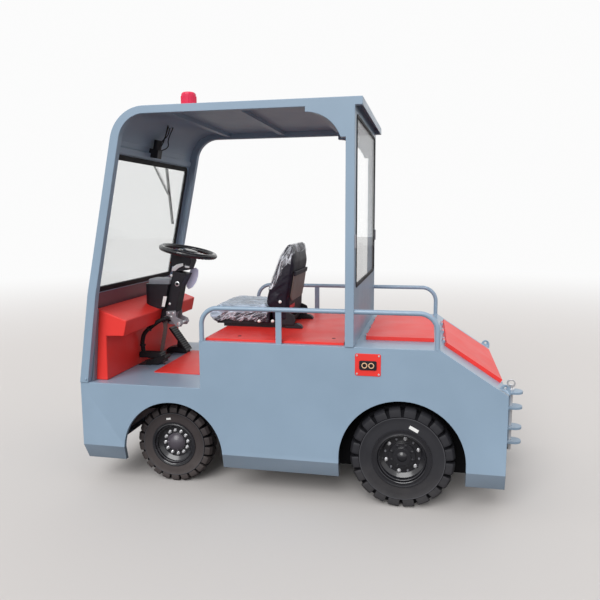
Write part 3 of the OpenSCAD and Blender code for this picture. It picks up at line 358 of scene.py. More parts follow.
def clear_finish(name, color, roughness, see_through, transmission=1.0, glow=0.0):
    made, tree, shader = new_material(name)
    surface = add(tree, "Group", {"Scale": 40.0}, node_tree=uneven)
    feed(tree, shader, {
        "Base Color": (*color, 1), "Roughness": roughness, "IOR": 1.45, "Transmission Weight": transmission,
        "Alpha": 1 - see_through, "Normal": bumped(tree, surface, 0.02)})
    if glow:
        feed(tree, shader, {"Emission Color": (*color, 1), "Emission Strength": glow})
    return made


window_glass = clear_finish("window_glass", (0.86, 0.93, 0.91), 0.02, 0.72)
lamp_glass = clear_finish("lamp_glass", (0.92, 0.94, 0.95), 0.08, 0.0, transmission=0.35)
beacon_red = clear_finish("beacon_red", (0.78, 0.024, 0.085), 0.22, 0.0, transmission=0.1, glow=0.06)
tail_red = clear_finish("tail_lamp_red", (0.55, 0.012, 0.015), 0.15, 0.0, transmission=0.1, glow=0.05)
print("clear finishes made")

# %% [markdown]
# The film over the seat is clear, thin and crumpled. It catches the sky in pale streaks along its
# folds and lets the black vinyl show between them; these streaks are a painted reflection, a pale colour
# that is opaque along the folds. Two layers of noise, each folded at its middle value so that it turns
# into sharp lines, give one mask, which drives the film's alpha and its bump.

# %% Crumpled film
creases, given, result = new_effect(
    "film creases",
    [("Scale", "value", 20.0), ("Thin", "value", 0.15), ("Thick", "value", 0.8), ("Sharpness", "value", 5.0),
     ("Turn", "vector", (0, 0, 0)), ("Stretch", "vector", (1, 1, 1))],
    [("Alpha", "value"), ("Height", "value")],
)
where = add(creases, "TexCoord", {})
stretched = add(creases, "Mapping", {
    "Vector": (where, "Object"), "Rotation": (given, "Turn"), "Scale": (given, "Stretch"),
}, vector_type="TEXTURE")
layers = []
for times, twist in ((1.0, 0.9), (2.7, 0.5)):
    size = maths(creases, "MULTIPLY", (given, "Scale"), times)
    folded = object_noise(
        creases, detail=2.0, Scale=(size, 0), Distortion=twist, Vector=(stretched, "Vector"))
    wider = maths(creases, "MULTIPLY", (folded, "Fac"), 3.0)
    ridge = maths(creases, "PINGPONG", (wider, 0), 0.5)
    peak = maths(creases, "MULTIPLY", (ridge, 0), 2.0)
    layers.append(maths(creases, "POWER", (peak, 0), (given, "Sharpness")))
both = maths(creases, "MAXIMUM", (layers[0], 0), (layers[1], 0))
span = add(creases, "MapRange", {"Value": (both, 0), "To Min": (given, "Thin"), "To Max": (given, "Thick")})
feed(creases, result, {"Alpha": (span, "Result"), "Height": (both, 0)})


# painted reflection: the pale colour is opaque on the folds (thick) and clear between them (thin)
def film_finish(name, color, scale, thin, thick, sharpness, stretch, turn=0):
    """turn is how far the folds lean, in degrees"""
    made, tree, shader = new_material(name)
    folds = add(tree, "Group", {
        "Scale": scale, "Thin": thin, "Thick": thick, "Sharpness": sharpness,
        "Turn": (0, math.radians(turn), 0), "Stretch": stretch}, node_tree=creases)
    feed(tree, shader, {
        "Base Color": (*color, 1), "Roughness": 0.14, "Alpha": (folds, "Alpha"),
        "Normal": bumped(tree, folds, 0.9, 0.004)})
    return made


# painted reflection: these pale film colours stand for the sky caught along the folds
cushion_wrap = film_finish("clear_film_on_cushion", (0.54, 0.64, 0.78), 9.0, 0.50, 0.95, 3.0, (2.6, 0.8, 1))
nose_wrap = film_finish(
    "clear_film_on_cushion_side", (0.74, 0.76, 0.86), 11.0, 0.05, 0.92, 8.0, (3.4, 1, 0.55), turn=24)
back_wrap = film_finish(
    "clear_film_on_back", (0.88, 0.90, 0.98), 13.0, 0.06, 0.95, 8.0, (0.7, 1, 3.4), turn=-23)
print("effect:", creases.name)

# %% [markdown]
# ## Sheet metal with soft edges
# A folded or sawn plate never has a perfectly sharp edge: it catches a thin line of light. Each CAD
# solid is copied, its loose triangles are merged and its flat faces joined, and a bevel modifier
# rounds every edge by a millimetre or two. The copy is then shown in the place of the solid. A bevel
# by modifier was chosen over one by hand because it treats forty pieces alike.

# %% Helpers for edit mode
SAME_POINT = 0.00002


def only(piece=None):
    """Deselects everything, then selects this piece alone"""
    if bpy.context.object and bpy.context.object.mode != "OBJECT":
        bpy.ops.object.mode_set(mode="OBJECT")
    bpy.ops.object.select_all(action="DESELECT")
    if piece:
        bpy.context.view_layer.objects.active = piece
        piece.select_set(True)
    return piece


def settle(piece, place=None):
    """Puts a piece in its place and writes place, turn and scale into its mesh"""
    if place:
        piece.matrix_world = place
    only(piece)
    bpy.ops.object.transform_apply(location=True, rotation=True, scale=True)
    return piece


def edit(piece, kind=None, action="SELECT"):
    only(piece)
    bpy.ops.object.mode_set(mode="EDIT")
    if kind:
        bpy.ops.mesh.select_mode(type=kind)
    bpy.ops.mesh.select_all(action=action)


def choose(piece, kind, test):
    """Opens a piece in edit mode, with those of its faces or edges selected that pass the test"""
    edit(piece, kind, "DESELECT")
    bpy.ops.object.mode_set(mode="OBJECT")
    for item in piece.data.polygons if kind == "FACE" else piece.data.edges:
        item.select = test(item)
    bpy.ops.object.mode_set(mode="EDIT")


def face_outwards():
    """Turns the faces outwards and leaves edit mode"""
    bpy.ops.mesh.select_all(action="SELECT")
    bpy.ops.mesh.normals_make_consistent(inside=False)
    bpy.ops.object.mode_set(mode="OBJECT")


def shade(angle):
    """Smooth shading, with a hard line at every edge that is sharper than an angle in degrees"""
    bpy.ops.object.shade_smooth_by_angle(angle=math.radians(angle))


print("helpers for edit mode ready")

# %% Helpers for whole pieces
NEARLY_FLAT = math.radians(0.4)
LARGE_FACE = 0.1


def merged_copy(node, name):
    """A copy of a CAD solid with its triangles merged into whole faces"""
    piece = bpy.data.objects.new(name, frame["nodes"][node].data.copy())
    piece.data.name = name
    bpy.context.scene.collection.objects.link(piece)
    edit(piece)
    bpy.ops.mesh.customdata_custom_splitnormals_clear()
    bpy.ops.mesh.remove_doubles(threshold=SAME_POINT)
    bpy.ops.mesh.dissolve_limited(angle_limit=NEARLY_FLAT)
    face_outwards()
    return piece


def modify(piece, title, kind, **settings):
    modifier = piece.modifiers.new(title, kind)
    for key, value in settings.items():
        setattr(modifier, key, value)


def apply_all(piece):
    only(piece)
    for title in [modifier.name for modifier in piece.modifiers]:
        bpy.ops.object.modifier_apply(modifier=title)


def round_edges(piece, width, segments, angle, harden=False):
    """A bevel modifier on all edges that are sharper than an angle"""
    modify(
        piece, "soft edges", "BEVEL", width=width * MM, segments=segments, limit_method="ANGLE",
        angle_limit=math.radians(angle), harden_normals=harden)


def soften(piece, width, segments=2, angle=32, even=False):
    """even keeps the shading of the large flat faces flat up to their edges"""
    only(piece)
    shade(28)
    round_edges(piece, width, segments, angle, harden=True)
    if even:
        modify(piece, "even shade", "WEIGHTED_NORMAL", weight=100, keep_sharp=True)
    apply_all(piece)
    if even:
        normals = [tuple(corner.vector) for corner in piece.data.corner_normals]
        for face in piece.data.polygons:
            if face.area > LARGE_FACE:
                for corner in face.loop_indices:
                    normals[corner] = tuple(face.normal)
        piece.data.normals_split_custom_set(normals)


def belongs(piece, body, material, slot):
    """The piece's finish and the body that it moves with. slot, the record's slot for it, is not used"""
    piece.data.materials.clear()
    piece.data.materials.append(material)
    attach(piece, body)
    return piece


print("helpers for whole pieces ready")

# %% Merge, bevel and show the solids
BODY_OF = {node: body for body, nodes in frame["record"]["behaviour"]["bodies"].items() for node in nodes}
SLOT_OF = {part["node"]: part["material_slot"] for part in frame["record"]["subparts"]}

# finish, then each node with its bevel in millimetres
PAINTED = [
    (body_paint, {
        "side_panel_left": 1.6, "side_panel_right": 1.6, "front_plate": 1.6, "rear_plate": 1.6,
        "floor_plate": 1.2, "seat_box": 1.2, "rear_deck": 1.2, "cab_side_left": 2.5, "cab_side_right": 2.5,
        "roof": 1.2, "screen_panel": 1.0, "rear_wall": 1.0, "side_rails": 0.5, "hitch_plates": 1.5}),
    (red_paint, {
        "floor_hatch": 1.2, "dash": 5.0, "socket_plate": 0.6, "deck_lid": 2.0, "rear_lid": 3.0,
        "slope_lid": 3.0}),
    (chassis_paint, {
        "chassis_frame": 1.2, "front_axle": 2.0, "drive_axle": 2.0, "leaf_springs": 1.2,
        "knuckle_left": 2.0, "knuckle_right": 2.0, "track_rod": 1.0}),
    (battery_grey, {"battery": 6.0}),
    (black_plastic, {
        "beacon_base": 1.0, "wiper": 0.8, "steering_column": 7.0, "pedals": 1.5, "charge_socket": 1.0,
        "seat_base": 2.0}),
    (bright_steel, {"hitch_pin": 1.2}),
    (beacon_red, {"beacon_lens": 0.8}),
    (lamp_glass, {"headlamps": 1.0}),
    (tail_red, {"tail_lamps": 4.0}),
    (rim_paint, {
        "rim_front_left": 1.2, "rim_front_right": 1.2, "rim_rear_left": 1.2, "rim_rear_right": 1.2}),
]
dressed = {}
for material, widths in PAINTED:
    for node, width in widths.items():
        piece = merged_copy(node, "shown_" + node)
        soften(piece, width, even=True)
        belongs(piece, BODY_OF[node], material, SLOT_OF[node])
        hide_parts(node)
        dressed[node] = piece
print("pieces with soft edges:", len(dressed))

# %% [markdown]
# The window glass keeps the solids themselves: a pane is cut square and its edge is hidden in rubber.

# %% Panes
for node in ("windscreen", "rear_glass"):
    pane = frame["nodes"][node]
    pane.data.materials.clear()
    pane.data.materials.append(window_glass)
print("panes:", 2)

# %% [markdown]
# ## Pieces with two paints
# The inside of the front panel, between the dash and the window, is red paint, given a dark dull red
# in which its shade is painted. It is the same piece of sheet as the blue-grey outside, so only the
# faces that look back into the cab take the second paint. The side panels are folded along a line above
# the ground, and the strip below the fold lies in shade. The panel is cut along that line, and the faces
# below it take a darker paint, which is painted shade.

# %% Red with painted shade inside, painted shade below the fold
RED_BELOW, RED_HALF_WIDTH = 1080, 545
FOLD_Z = 226


def second_finish(piece, material, test):
    """A further finish for the faces that pass a test of their place and direction"""
    piece.data.materials.append(material)
    faces = [face for face in piece.data.polygons if test(drawn(face.center), face.normal)]
    for face in faces:
        face.material_index = len(piece.data.materials) - 1
    print(piece.name, material.name, "faces:", len(faces))


def faces_cab(c, way):
    return way.x < -0.5 and c.z < RED_BELOW and abs(c.y) < RED_HALF_WIDTH


# the faces that look back into the cab take red with its shade painted in
for node in ("screen_panel", "front_plate"):
    second_finish(dressed[node], red_with_painted_shade, faces_cab)
for hand, side in SIDES:
    panel = dressed["side_panel_" + hand]
    edit(panel)
    bpy.ops.mesh.bisect(plane_co=at(0, 0, FOLD_Z), plane_no=(0, 0, 1))
    bpy.ops.object.mode_set(mode="OBJECT")
    # the faces below the fold take the darker paint, which is painted shade
    second_finish(panel, skirt_painted_shade, lambda c, way: c.z < FOLD_Z)

# %% [markdown]
# ## Window rubbers
# Each pane sits in a black rubber channel with round corners. It is modelled flat: a plane as large
# as the rubber's outside, its four corners rounded, its middle inset and taken out, and the ring made
# solid and soft. Then it is turned into the plane of the window.

# %% Rubbers of the windscreen and the rear window
KNEE_X, KNEE_Z = 1702.8, 1075
LEAN = math.radians(11.9)
SCREEN_LOW, SCREEN_HIGH = 1096, 1820
SCREEN_WIDTH = 992
REAR_X, REAR_LOW, REAR_HIGH, REAR_WIDTH = 249.5, 1143, 1985, 1006
UPRIGHT = Matrix.Rotation(math.radians(90), 4, "Z") @ Matrix.Rotation(math.radians(90), 4, "X")
# a finish and the slot that goes with it
RUBBER = (black_rubber, "black_plastic")


def rubber_frame(name, width, height, over, band, corner, thick):
    """width and height of the opening, over the amount that the rubber laps outside it"""
    only()
    bpy.ops.mesh.primitive_plane_add(size=1)
    ring = bpy.context.object
    ring.name = name
    ring.scale = ((width + 2 * over) * MM, (height + 2 * over) * MM, 1)
    settle(ring)
    edit(ring)
    bpy.ops.mesh.bevel(offset=corner * MM, segments=8, affect="VERTICES")
    bpy.ops.mesh.select_all(action="SELECT")
    bpy.ops.mesh.inset(thickness=band * MM)
    bpy.ops.object.mode_set(mode="OBJECT")
    middle = min(ring.data.polygons, key=lambda face: face.center.length).index
    choose(ring, "FACE", lambda face: face.index == middle)
    bpy.ops.mesh.delete(type="FACE")
    bpy.ops.object.mode_set(mode="OBJECT")
    modify(ring, "thickness", "SOLIDIFY", thickness=thick * MM, offset=0)
    soften(ring, 3.0, segments=3)
    return ring


def on_screen(z):
    """The middle of the windscreen at a height"""
    return at(KNEE_X, 0, KNEE_Z) + Vector((-(z - KNEE_Z) * math.tan(LEAN), 0, z - KNEE_Z)) * MM


screen_tall = (SCREEN_HIGH - SCREEN_LOW) / math.cos(LEAN)
screen_rubber = settle(
    rubber_frame("windscreen_rubber", SCREEN_WIDTH, screen_tall, 14, 30, 42, 15),
    Matrix.Translation(on_screen((SCREEN_LOW + SCREEN_HIGH) / 2)) @ Matrix.Rotation(-LEAN, 4, "Y")
    @ UPRIGHT @ Matrix.Translation((0, 0, -2 * MM)))
belongs(screen_rubber, "chassis", *RUBBER)
rear_rubber = settle(
    rubber_frame("rear_window_rubber", REAR_WIDTH, REAR_HIGH - REAR_LOW, 9, 18, 34, 13),
    Matrix.Translation(at(REAR_X, 0, (REAR_LOW + REAR_HIGH) / 2)) @ UPRIGHT)
belongs(rear_rubber, "chassis", *RUBBER)
print("windscreen rubber:", [round(v, 3) for v in screen_rubber.dimensions])

# %% [markdown]
# ## Turned parts
# Nuts, bolts, rings and knobs are all turned or hexagonal. One helper makes them as on a lathe: it
# starts from a filled circle and pulls its face up step by step, wider or narrower. A hexagon is the
# same with six corners. The steps are a table of radius and height. Other helpers put copies of a
# part in their places, and make thin rings.

# %% Helpers for turned parts
STEEL = (bright_steel, "bright_steel")
DULL_STEEL = (dull_steel, "bright_steel")
BLACK = (black_plastic, "black_plastic")


def turned(name, steps, corners=32):
    """steps are (radius, height) in millimetres, from the bottom up"""
    only()
    radius, height = steps[0]
    bpy.ops.mesh.primitive_circle_add(
        vertices=corners, radius=radius * MM, fill_type="NGON", location=(0, 0, height * MM))
    part = settle(bpy.context.object)
    part.name = name
    edit(part, "FACE")
    for (r0, h0), (r1, h1) in zip(steps, steps[1:]):
        bpy.ops.mesh.extrude_region_move(TRANSFORM_OT_translate={"value": (0, 0, (h1 - h0) * MM)})
        bpy.ops.transform.resize(value=(r1 / r0, r1 / r0, 1))
    face_outwards()
    shade(35)
    return part


def joined(name, parts):
    only()
    for part in parts:
        part.select_set(True)
    bpy.context.view_layer.objects.active = parts[0]
    bpy.ops.object.join()
    parts[0].name = name
    parts[0].data.name = name
    return parts[0]


def pointing(place, way, spin=0.0):
    """A place in the scene with the part's own Z along a direction"""
    turn = Vector((0, 0, 1)).rotation_difference(Vector(way)).to_matrix().to_4x4()
    return Matrix.Translation(place) @ turn @ Matrix.Rotation(spin, 4, "Z")


def sideways(spots):
    """Places on both sides of the tractor that point outwards"""
    return [pointing(at(x, side * y, z), (0, side, 0)) for _, side in SIDES for x, y, z in spots]


def placed(name, part, places, look, body="chassis"):
    """Copies of a part in one piece. The part itself goes. look is a finish and its slot"""
    copies = []
    for place in places:
        only(part)
        bpy.ops.object.duplicate()
        copies.append(settle(bpy.context.object, place))
    bpy.data.objects.remove(part)
    return belongs(joined(name, copies), body, *look)


def thin_ring(place, major, minor, turn=(0, 0, 0), around=48, across=12):
    """A torus. turn is in degrees"""
    only()
    bpy.ops.mesh.primitive_torus_add(
        major_radius=major * MM, minor_radius=minor * MM, major_segments=around, minor_segments=across,
        location=place, rotation=[math.radians(angle) for angle in turn])
    bpy.ops.object.shade_smooth()
    return settle(bpy.context.object)


def thin_rings(name, places, major, minor, look, **more):
    rings = [thin_ring(place, major, minor, **more) for place in places]
    return belongs(joined(name, rings), "chassis", *look)


def small_bolt():
    head = turned("head", [(5.2, 0), (5.8, 0.8), (5.8, 4.5), (4.6, 5.5)], corners=6)
    washer = turned("washer", [(7.5, 0), (7.5, 1.2), (7, 1.5)], corners=20)
    return joined("bolt", [head, washer])


print("helpers for turned parts ready")

# %% [markdown]
# ## Wheels
# Six bright nuts hold each rear rim, with six dull studs between them, and twelve nuts hold each
# front rim. The rear hub is closed by eight small bolts. The pattern's turn follows the picture. The
# front hubs are grey.

# %% Nuts, studs and hubs
Wheel = namedtuple("Wheel", "name end side x y z disc nuts nut_r first width rim lugs gap")
# end, axle X, wheel's outer Y, axle Z, depth of the disc, nuts, their radius, first angle, then the
# tyre: width, radius of the rim, lugs on each side, gap between lugs
AXLES = [
    ("front", 1275, 472, 222.5, 42, 12, 68, 54, 116, 116, 22, 19),
    ("rear", 0, 554, 267.5, 60, 6, 88, 39.5, 156, 128, 20, 24),
]
WHEELS = [
    Wheel(f"{end}_{hand}", end, side, x, side * y, *rest)
    for end, x, y, *rest in AXLES for hand, side in SIDES]
HUB_R, HUB_FROM_Y = 53, 436
RIM = (rim_paint, "rim_paint")


def wheel_nut():
    hexagon = turned("nut", [(7.9, 0), (8.6, 1.2), (8.6, 9.5), (7.2, 11)], corners=6)
    washer = turned("washer", [(9.6, 0), (9.6, 1.6), (9, 2)], corners=24)
    stud = turned("stud", [(4.6, 8), (4.6, 15), (3.8, 16)], corners=16)
    return joined("nut", [hexagon, washer, stud])


def on_axle(wheel, spin=0.0):
    return pointing(at(wheel.x, wheel.y, wheel.z), (0, wheel.side, 0), spin)


def ring_places(wheel, depth, radius, first, count):
    places = []
    for i in range(count):
        a = math.radians(first + i * 360 / count)
        along, up = radius * math.cos(a), radius * math.sin(a)
        spot = at(wheel.x + along, wheel.y - wheel.side * depth, wheel.z + up)
        places.append(pointing(spot, (0, wheel.side, 0), spin=a * 1.7))
    return places


for wheel in WHEELS:
    name, body = wheel.name, "wheel_" + wheel.name
    nut_places = ring_places(wheel, wheel.disc, wheel.nut_r, wheel.first, wheel.nuts)
    placed("wheel_nuts_" + name, wheel_nut(), nut_places, STEEL, body)
    if wheel.end == "rear":
        stud = turned("stud", [(5.5, 0), (5.5, 3), (3.8, 3.2), (3.8, 10), (3, 11)], corners=16)
        stud_places = ring_places(wheel, wheel.disc, wheel.nut_r, wheel.first + 30, 6)
        placed("wheel_studs_" + name, stud, stud_places, DULL_STEEL, body)
        bolt_places = ring_places(wheel, depth=40, radius=57, first=20, count=8)
        placed("hub_bolts_" + name, small_bolt(), bolt_places, RIM, body)
    else:
        second_finish(dressed["rim_" + name], hub_paint, lambda c, way: (
            math.hypot(c.x - wheel.x, c.z - wheel.z) < HUB_R and wheel.side * c.y > HUB_FROM_Y))
print("wheels with nuts:", len(WHEELS))

# %% [markdown]
# ## Solid rubber tyres
# These are press-on solid tyres: a smooth sidewall with a ring in it, and above the ring two rows of
# thick lugs, those of the inner side half a step on from those of the outer side. The body is turned
# from a ring of edges that is extruded along the section. One lug is shaped from a box, then spun
# round the axle as copies, which keeps the whole tread regular.

# %% Helpers for tyres
# where a lug's middle edges lie, as shares of its height and of its depth
MIDDLE_UP, MIDDLE_BACK = 0.72, 0.42
NARROWER_AT_BACK = 0.14
SHOULDER_DROP = 7


def turned_ring(name, section, corners=120):
    """section holds (radius, height) points in millimetres, all the way round"""
    only()
    radius, height = section[0]
    bpy.ops.mesh.primitive_circle_add(
        vertices=corners, radius=radius * MM, fill_type="NOTHING", location=(0, 0, height * MM))
    ring = settle(bpy.context.object)
    ring.name = name
    edit(ring, "EDGE")
    for (r0, h0), (r1, h1) in zip(section, section[1:] + section[:1]):
        bpy.ops.mesh.extrude_edges_move(TRANSFORM_OT_translate={"value": (0, 0, (h1 - h0) * MM)})
        bpy.ops.transform.resize(value=(r1 / r0, r1 / r0, 1))
    bpy.ops.mesh.select_all(action="SELECT")
    bpy.ops.mesh.remove_doubles(threshold=SAME_POINT)
    face_outwards()
    shade(35)
    return ring


def cut_edges(piece, axis, cuts):
    """Subdivides the edges that run along one axis"""
    def along(edge):
        a, b = (piece.data.vertices[i].co for i in edge.vertices)
        return abs(a[axis] - b[axis]) > 1e-5

    choose(piece, "EDGE", along)
    bpy.ops.mesh.subdivide(number_cuts=cuts)
    bpy.ops.object.mode_set(mode="OBJECT")


def tread_lug(radius, root, half_tread, half_root, depth):
    """One lug in the wheel's own frame: X along the radius, Z out of the wheel, its outer end at z = 0"""
    only()
    bpy.ops.mesh.primitive_cube_add(size=1, location=((radius + root) / 2 * MM, 0, -depth / 2 * MM))
    lug = bpy.context.object
    lug.scale = ((radius - root) * MM, 2 * MM, depth * MM)
    settle(lug)
    for axis, cuts in ((1, 3), (0, 1), (2, 1)):
        cut_edges(lug, axis, cuts)
    for v in lug.data.vertices:
        up = {0: 0, 50: MIDDLE_UP, 100: 1}[round((v.co.x / MM - root) / (radius - root) * 100)]
        back = {0: 0, 50: MIDDLE_BACK, 100: 1}[round(-v.co.z / MM / depth * 100)]
        half = (half_root + (half_tread - half_root) * up) * (1 - NARROWER_AT_BACK * back)
        y = v.co.y / MM * half
        r = root + (radius - root) * up - (SHOULDER_DROP if back == 0 and up == 1 else 0)
        z = -depth * back if back else -(0.4 + 12 * up ** 3)
        v.co = Vector((math.sqrt(r * r - y * y), y, z)) * MM
    round_edges(lug, 2.0, 2, 48)
    apply_all(lug)
    return lug


def spun(piece, count):
    """Copies of a piece round its own Z, made by one spin"""
    edit(piece)
    bpy.ops.mesh.spin(
        steps=count - 1, dupli=True, angle=math.radians(360 * (count - 1) / count), center=(0, 0, 0),
        axis=(0, 0, 1))
    bpy.ops.object.mode_set(mode="OBJECT")
    return piece


print("helpers for tyres ready")

# %% Four tyres
RIB_SHARE = 0.2
ROOT_SHARE = 0.825
# where the painted shade between the lugs and the painted highlight on the sidewall ring lie, as
# shares of the radius
GAP_SHADE_RING = (0.822, 0.985)
HIGHLIGHT_RING = (0.801, 0.816)

for wheel in WHEELS:
    r, rim, width, count, gap = wheel.z, wheel.rim, wheel.width, wheel.lugs, wheel.gap
    half_width = width * (1 - RIB_SHARE) / 2
    outer = [
        (rim + 1, -5), (rim + 7, -1.5), (r * 0.60, 0), (r * 0.70, -1.2), (r * 0.785, -0.2), (r * 0.80, 1),
        (r * 0.815, 1), (r * 0.83, -5), (r * 0.885, -17), (r - 18, -28), (r - 14, 4 - half_width),
        (r, -half_width)]
    inner = [(a, -width - h) for a, h in reversed(outer)]
    ring = turned_ring("tyre", outer + inner)
    reach = [math.hypot(face.center.x, face.center.y) / MM / r for face in ring.data.polygons]
    root = r * ROOT_SHARE
    half_step_on = (
        Matrix.Translation((0, 0, -width * MM)) @ Matrix.Rotation(math.pi / count, 4, "Z")
        @ Matrix.Rotation(math.pi, 4, "X"))
    rows = []
    for place in (Matrix(), half_step_on):
        lug = tread_lug(
            r, root, math.pi * r / count - gap / 2, math.pi * root / count - gap * 0.26, half_width + 2)
        rows.append(settle(spun(lug, count), place))
        shade(30)
    tyre = settle(joined("shown_tyre_" + wheel.name, [ring] + rows), on_axle(wheel, spin=math.pi / count))
    belongs(
        tyre, "wheel_" + wheel.name, dusty_rubber if wheel.end == "front" else tyre_rubber, "tyre_rubber")
    tyre.data.materials.append(gap_painted_shade)
    tyre.data.materials.append(ring_painted_highlight)
    # the gaps take painted shade, and the sidewall ring a painted highlight
    for face, out in zip(tyre.data.polygons, reach):
        in_gap_shade, on_highlight = GAP_SHADE_RING[0] < out < GAP_SHADE_RING[1], HIGHLIGHT_RING[0] < out < HIGHLIGHT_RING[1]
        face.material_index = 1 if in_gap_shade else 2 if on_highlight else 0
    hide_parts("tyre_" + wheel.name)
    dressed["tyre_" + wheel.name] = tyre
    print(wheel.name, "lugs:", 2 * count, "faces:", len(tyre.data.polygons))

# %% [markdown]
# A rolled steel flange lies between the rim's barrel and the sidewall, and catches a bright arc of
# light. It is turned like the tyre.

# %% Flanges
for wheel in WHEELS:
    low, high = wheel.rim - 3, wheel.rim + (24 if wheel.end == "rear" else 12)
    flange = turned_ring("rim_flange_" + wheel.name, [
        (low, -3), (low, 3), (low + 3, 5), (low + 8, 3.2), (high - 8, 3.6), (high - 4, 5.5), (high, 5),
        (high + 1, 2), (high - 2, 0.4), (high - 8, -1), (low + 6, -3)])
    belongs(settle(flange, on_axle(wheel)), "wheel_" + wheel.name, *RIM)
print("flanges:", len(WHEELS))

# %% [markdown]
# ## Bars, hoses and sawn plates
# A round bar or hose is a curve with a round section and filled ends, turned into a mesh. A sawn
# plate starts from a filled circle with as many corners as the plate has, its corners are moved to
# the outline, the face is pulled to its thickness, and the edges get a small bevel.

# %% Helpers for bars and plates


def round_bar(name, points, radius, look, body="chassis", bevel_steps=4):
    """points are (x, y, z) in millimetres of the drawing"""
    only()
    bpy.ops.curve.primitive_bezier_curve_add()
    line = bpy.context.object
    line.name = name
    line.data.splines[0].bezier_points.add(len(points) - 2)
    for knot, point in zip(line.data.splines[0].bezier_points, points):
        knot.co = at(*point)
        knot.handle_left_type = knot.handle_right_type = "AUTO"
    line.data.bevel_depth = radius * MM
    line.data.bevel_resolution = bevel_steps
    line.data.resolution_u = 8
    line.data.use_fill_caps = True
    bpy.ops.object.convert(target="MESH")
    bar = bpy.context.object
    edit(bar)
    bpy.ops.mesh.remove_doubles(threshold=0.00005)
    face_outwards()
    shade(50)
    return belongs(bar, body, *look)


def sawn_plate(name, outline, start, thick, look=None, body="chassis", soft=1.0, flat=False):
    """An outline of (x, z), pulled from start to the left by thick. If flat, one of (x, y), pulled up"""
    only()
    bpy.ops.mesh.primitive_circle_add(vertices=len(outline), radius=0.01, fill_type="NGON")
    plate = bpy.context.object
    plate.name = name
    for corner, (a, b) in zip(plate.data.vertices, outline):
        corner.co = at(a, b, start) if flat else at(a, start, b)
    edit(plate, "FACE")
    pull = (0, 0, thick * MM) if flat else (0, thick * MM, 0)
    bpy.ops.mesh.extrude_region_move(TRANSFORM_OT_translate={"value": pull})
    face_outwards()
    soften(plate, soft)
    return belongs(plate, body, *look) if look else plate


def plate_pair(name, outline, near, thick, look=None, body="chassis", soft=1.0):
    """The same plate on both sides. near is the distance of its inner face from the middle"""
    return [
        sawn_plate(f"{name}_{hand}", outline, near if side > 0 else -near - thick, thick, look, body, soft)
        for hand, side in SIDES]


print("helpers for bars and plates ready")

# %% [markdown]
# ## Fittings of the steering column
# Below the wheel two bright levers stand out of the switch housing. The key switch is a ring with a
# black barrel, and a blank silvery strip runs down the corner of the instrument pod, whose lid is a
# paler plastic. All of these are small, so each is one plate or one turned part.

# %% Levers, key switch, strip and pod
sawn_plate("column_lever_long", [
    (1437, 1166), (1432, 1188), (1402, 1207), (1362, 1214), (1360, 1198), (1392, 1184), (1412, 1166)],
    47, 7, STEEL, soft=2.5)
sawn_plate(
    "column_lever_short", [(1352, 1200), (1322, 1197), (1322, 1184), (1350, 1187)], 47, 6, STEEL, soft=2)
key_place = [pointing(at(1405, 48, 1086), (0, 1, 0))]
key_ring = turned("ring", [(15, 0), (15, 3), (12.5, 4.5), (10, 4.5), (9.4, 2.5)], corners=40)
placed("key_switch_ring", key_ring, key_place, STEEL)
key_core = turned("barrel", [(9.2, 0), (9.2, 5), (8.2, 6), (2.6, 6), (2.6, 4.8)])
placed("key_switch_barrel", key_core, key_place, BLACK)
placed("casing_bolts", small_bolt(), sideways([(1442, 48, 1136), (1460, 48, 960)]), STEEL)
sawn_plate(
    "blank_strip", [(1500, 946), (1486, 1011), (1462, 1011), (1480, 946)], 78, 1.8,
    (blank_label, "bright_steel"), soft=0.6)
sawn_plate("pale_oval_plate", [
    (1352, 1172), (1318, 1180), (1302, 1165), (1304, 1130), (1320, 1086), (1345, 1054), (1372, 1042),
    (1386, 1060), (1380, 1110)], -52, 4, (oval_white, "black_plastic"), soft=1.8)


def pod_outline(back, front, half, corner, steps=6):
    """The pod seen from above, with large round corners at the front"""
    line = [(back, -half), (back, half)]
    for centre_y, start in ((half - corner, 90), (corner - half, 0)):
        for i in range(steps + 1):
            a = math.radians(start - 90 * i / steps)
            line.append((front - corner + corner * math.cos(a), centre_y + corner * math.sin(a)))
    return line


pod = sawn_plate(
    "shown_instrument_pod", pod_outline(1450, 1617, 78, 48), 933, 152, soft=0.4, flat=True)
edit(pod)
slope = Vector((-163, 0, -37.5)).normalized()
bpy.ops.mesh.bisect(plane_co=at(1487, 0, 932), plane_no=slope, clear_outer=True, use_fill=True)
bpy.ops.object.mode_set(mode="OBJECT")
soften(pod, 7, segments=4, angle=40)
belongs(pod, "chassis", *BLACK)
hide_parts("instrument_pod")

pod_lid = sawn_plate("pod_lid", pod_outline(1446, 1600, 70, 44), 1085.4, 24, soft=0.6, flat=True)
top = max(pod_lid.data.polygons, key=lambda face: face.center.z + face.area * 10).index
choose(pod_lid, "FACE", lambda face: face.index == top)
for inwards, up in ((9, 5), (14, 3)):
    bpy.ops.mesh.inset(thickness=inwards * MM)
    bpy.ops.transform.translate(value=(0, 0, up * MM))
bpy.ops.object.mode_set(mode="OBJECT")
soften(pod_lid, 4, segments=3, angle=20)
belongs(pod_lid, "chassis", pale_plastic, "black_plastic")
print("pod:", [round(v, 3) for v in pod.dimensions])

# %% [markdown]
# ## Steering wheel
# The wheel has a thick padded grip with finger waves on its underside, three broad spokes and a
# domed middle. The grip is a torus whose lower half is pushed out in waves. The rest are plates and
# one turned part, all made flat and then leant back with the column.

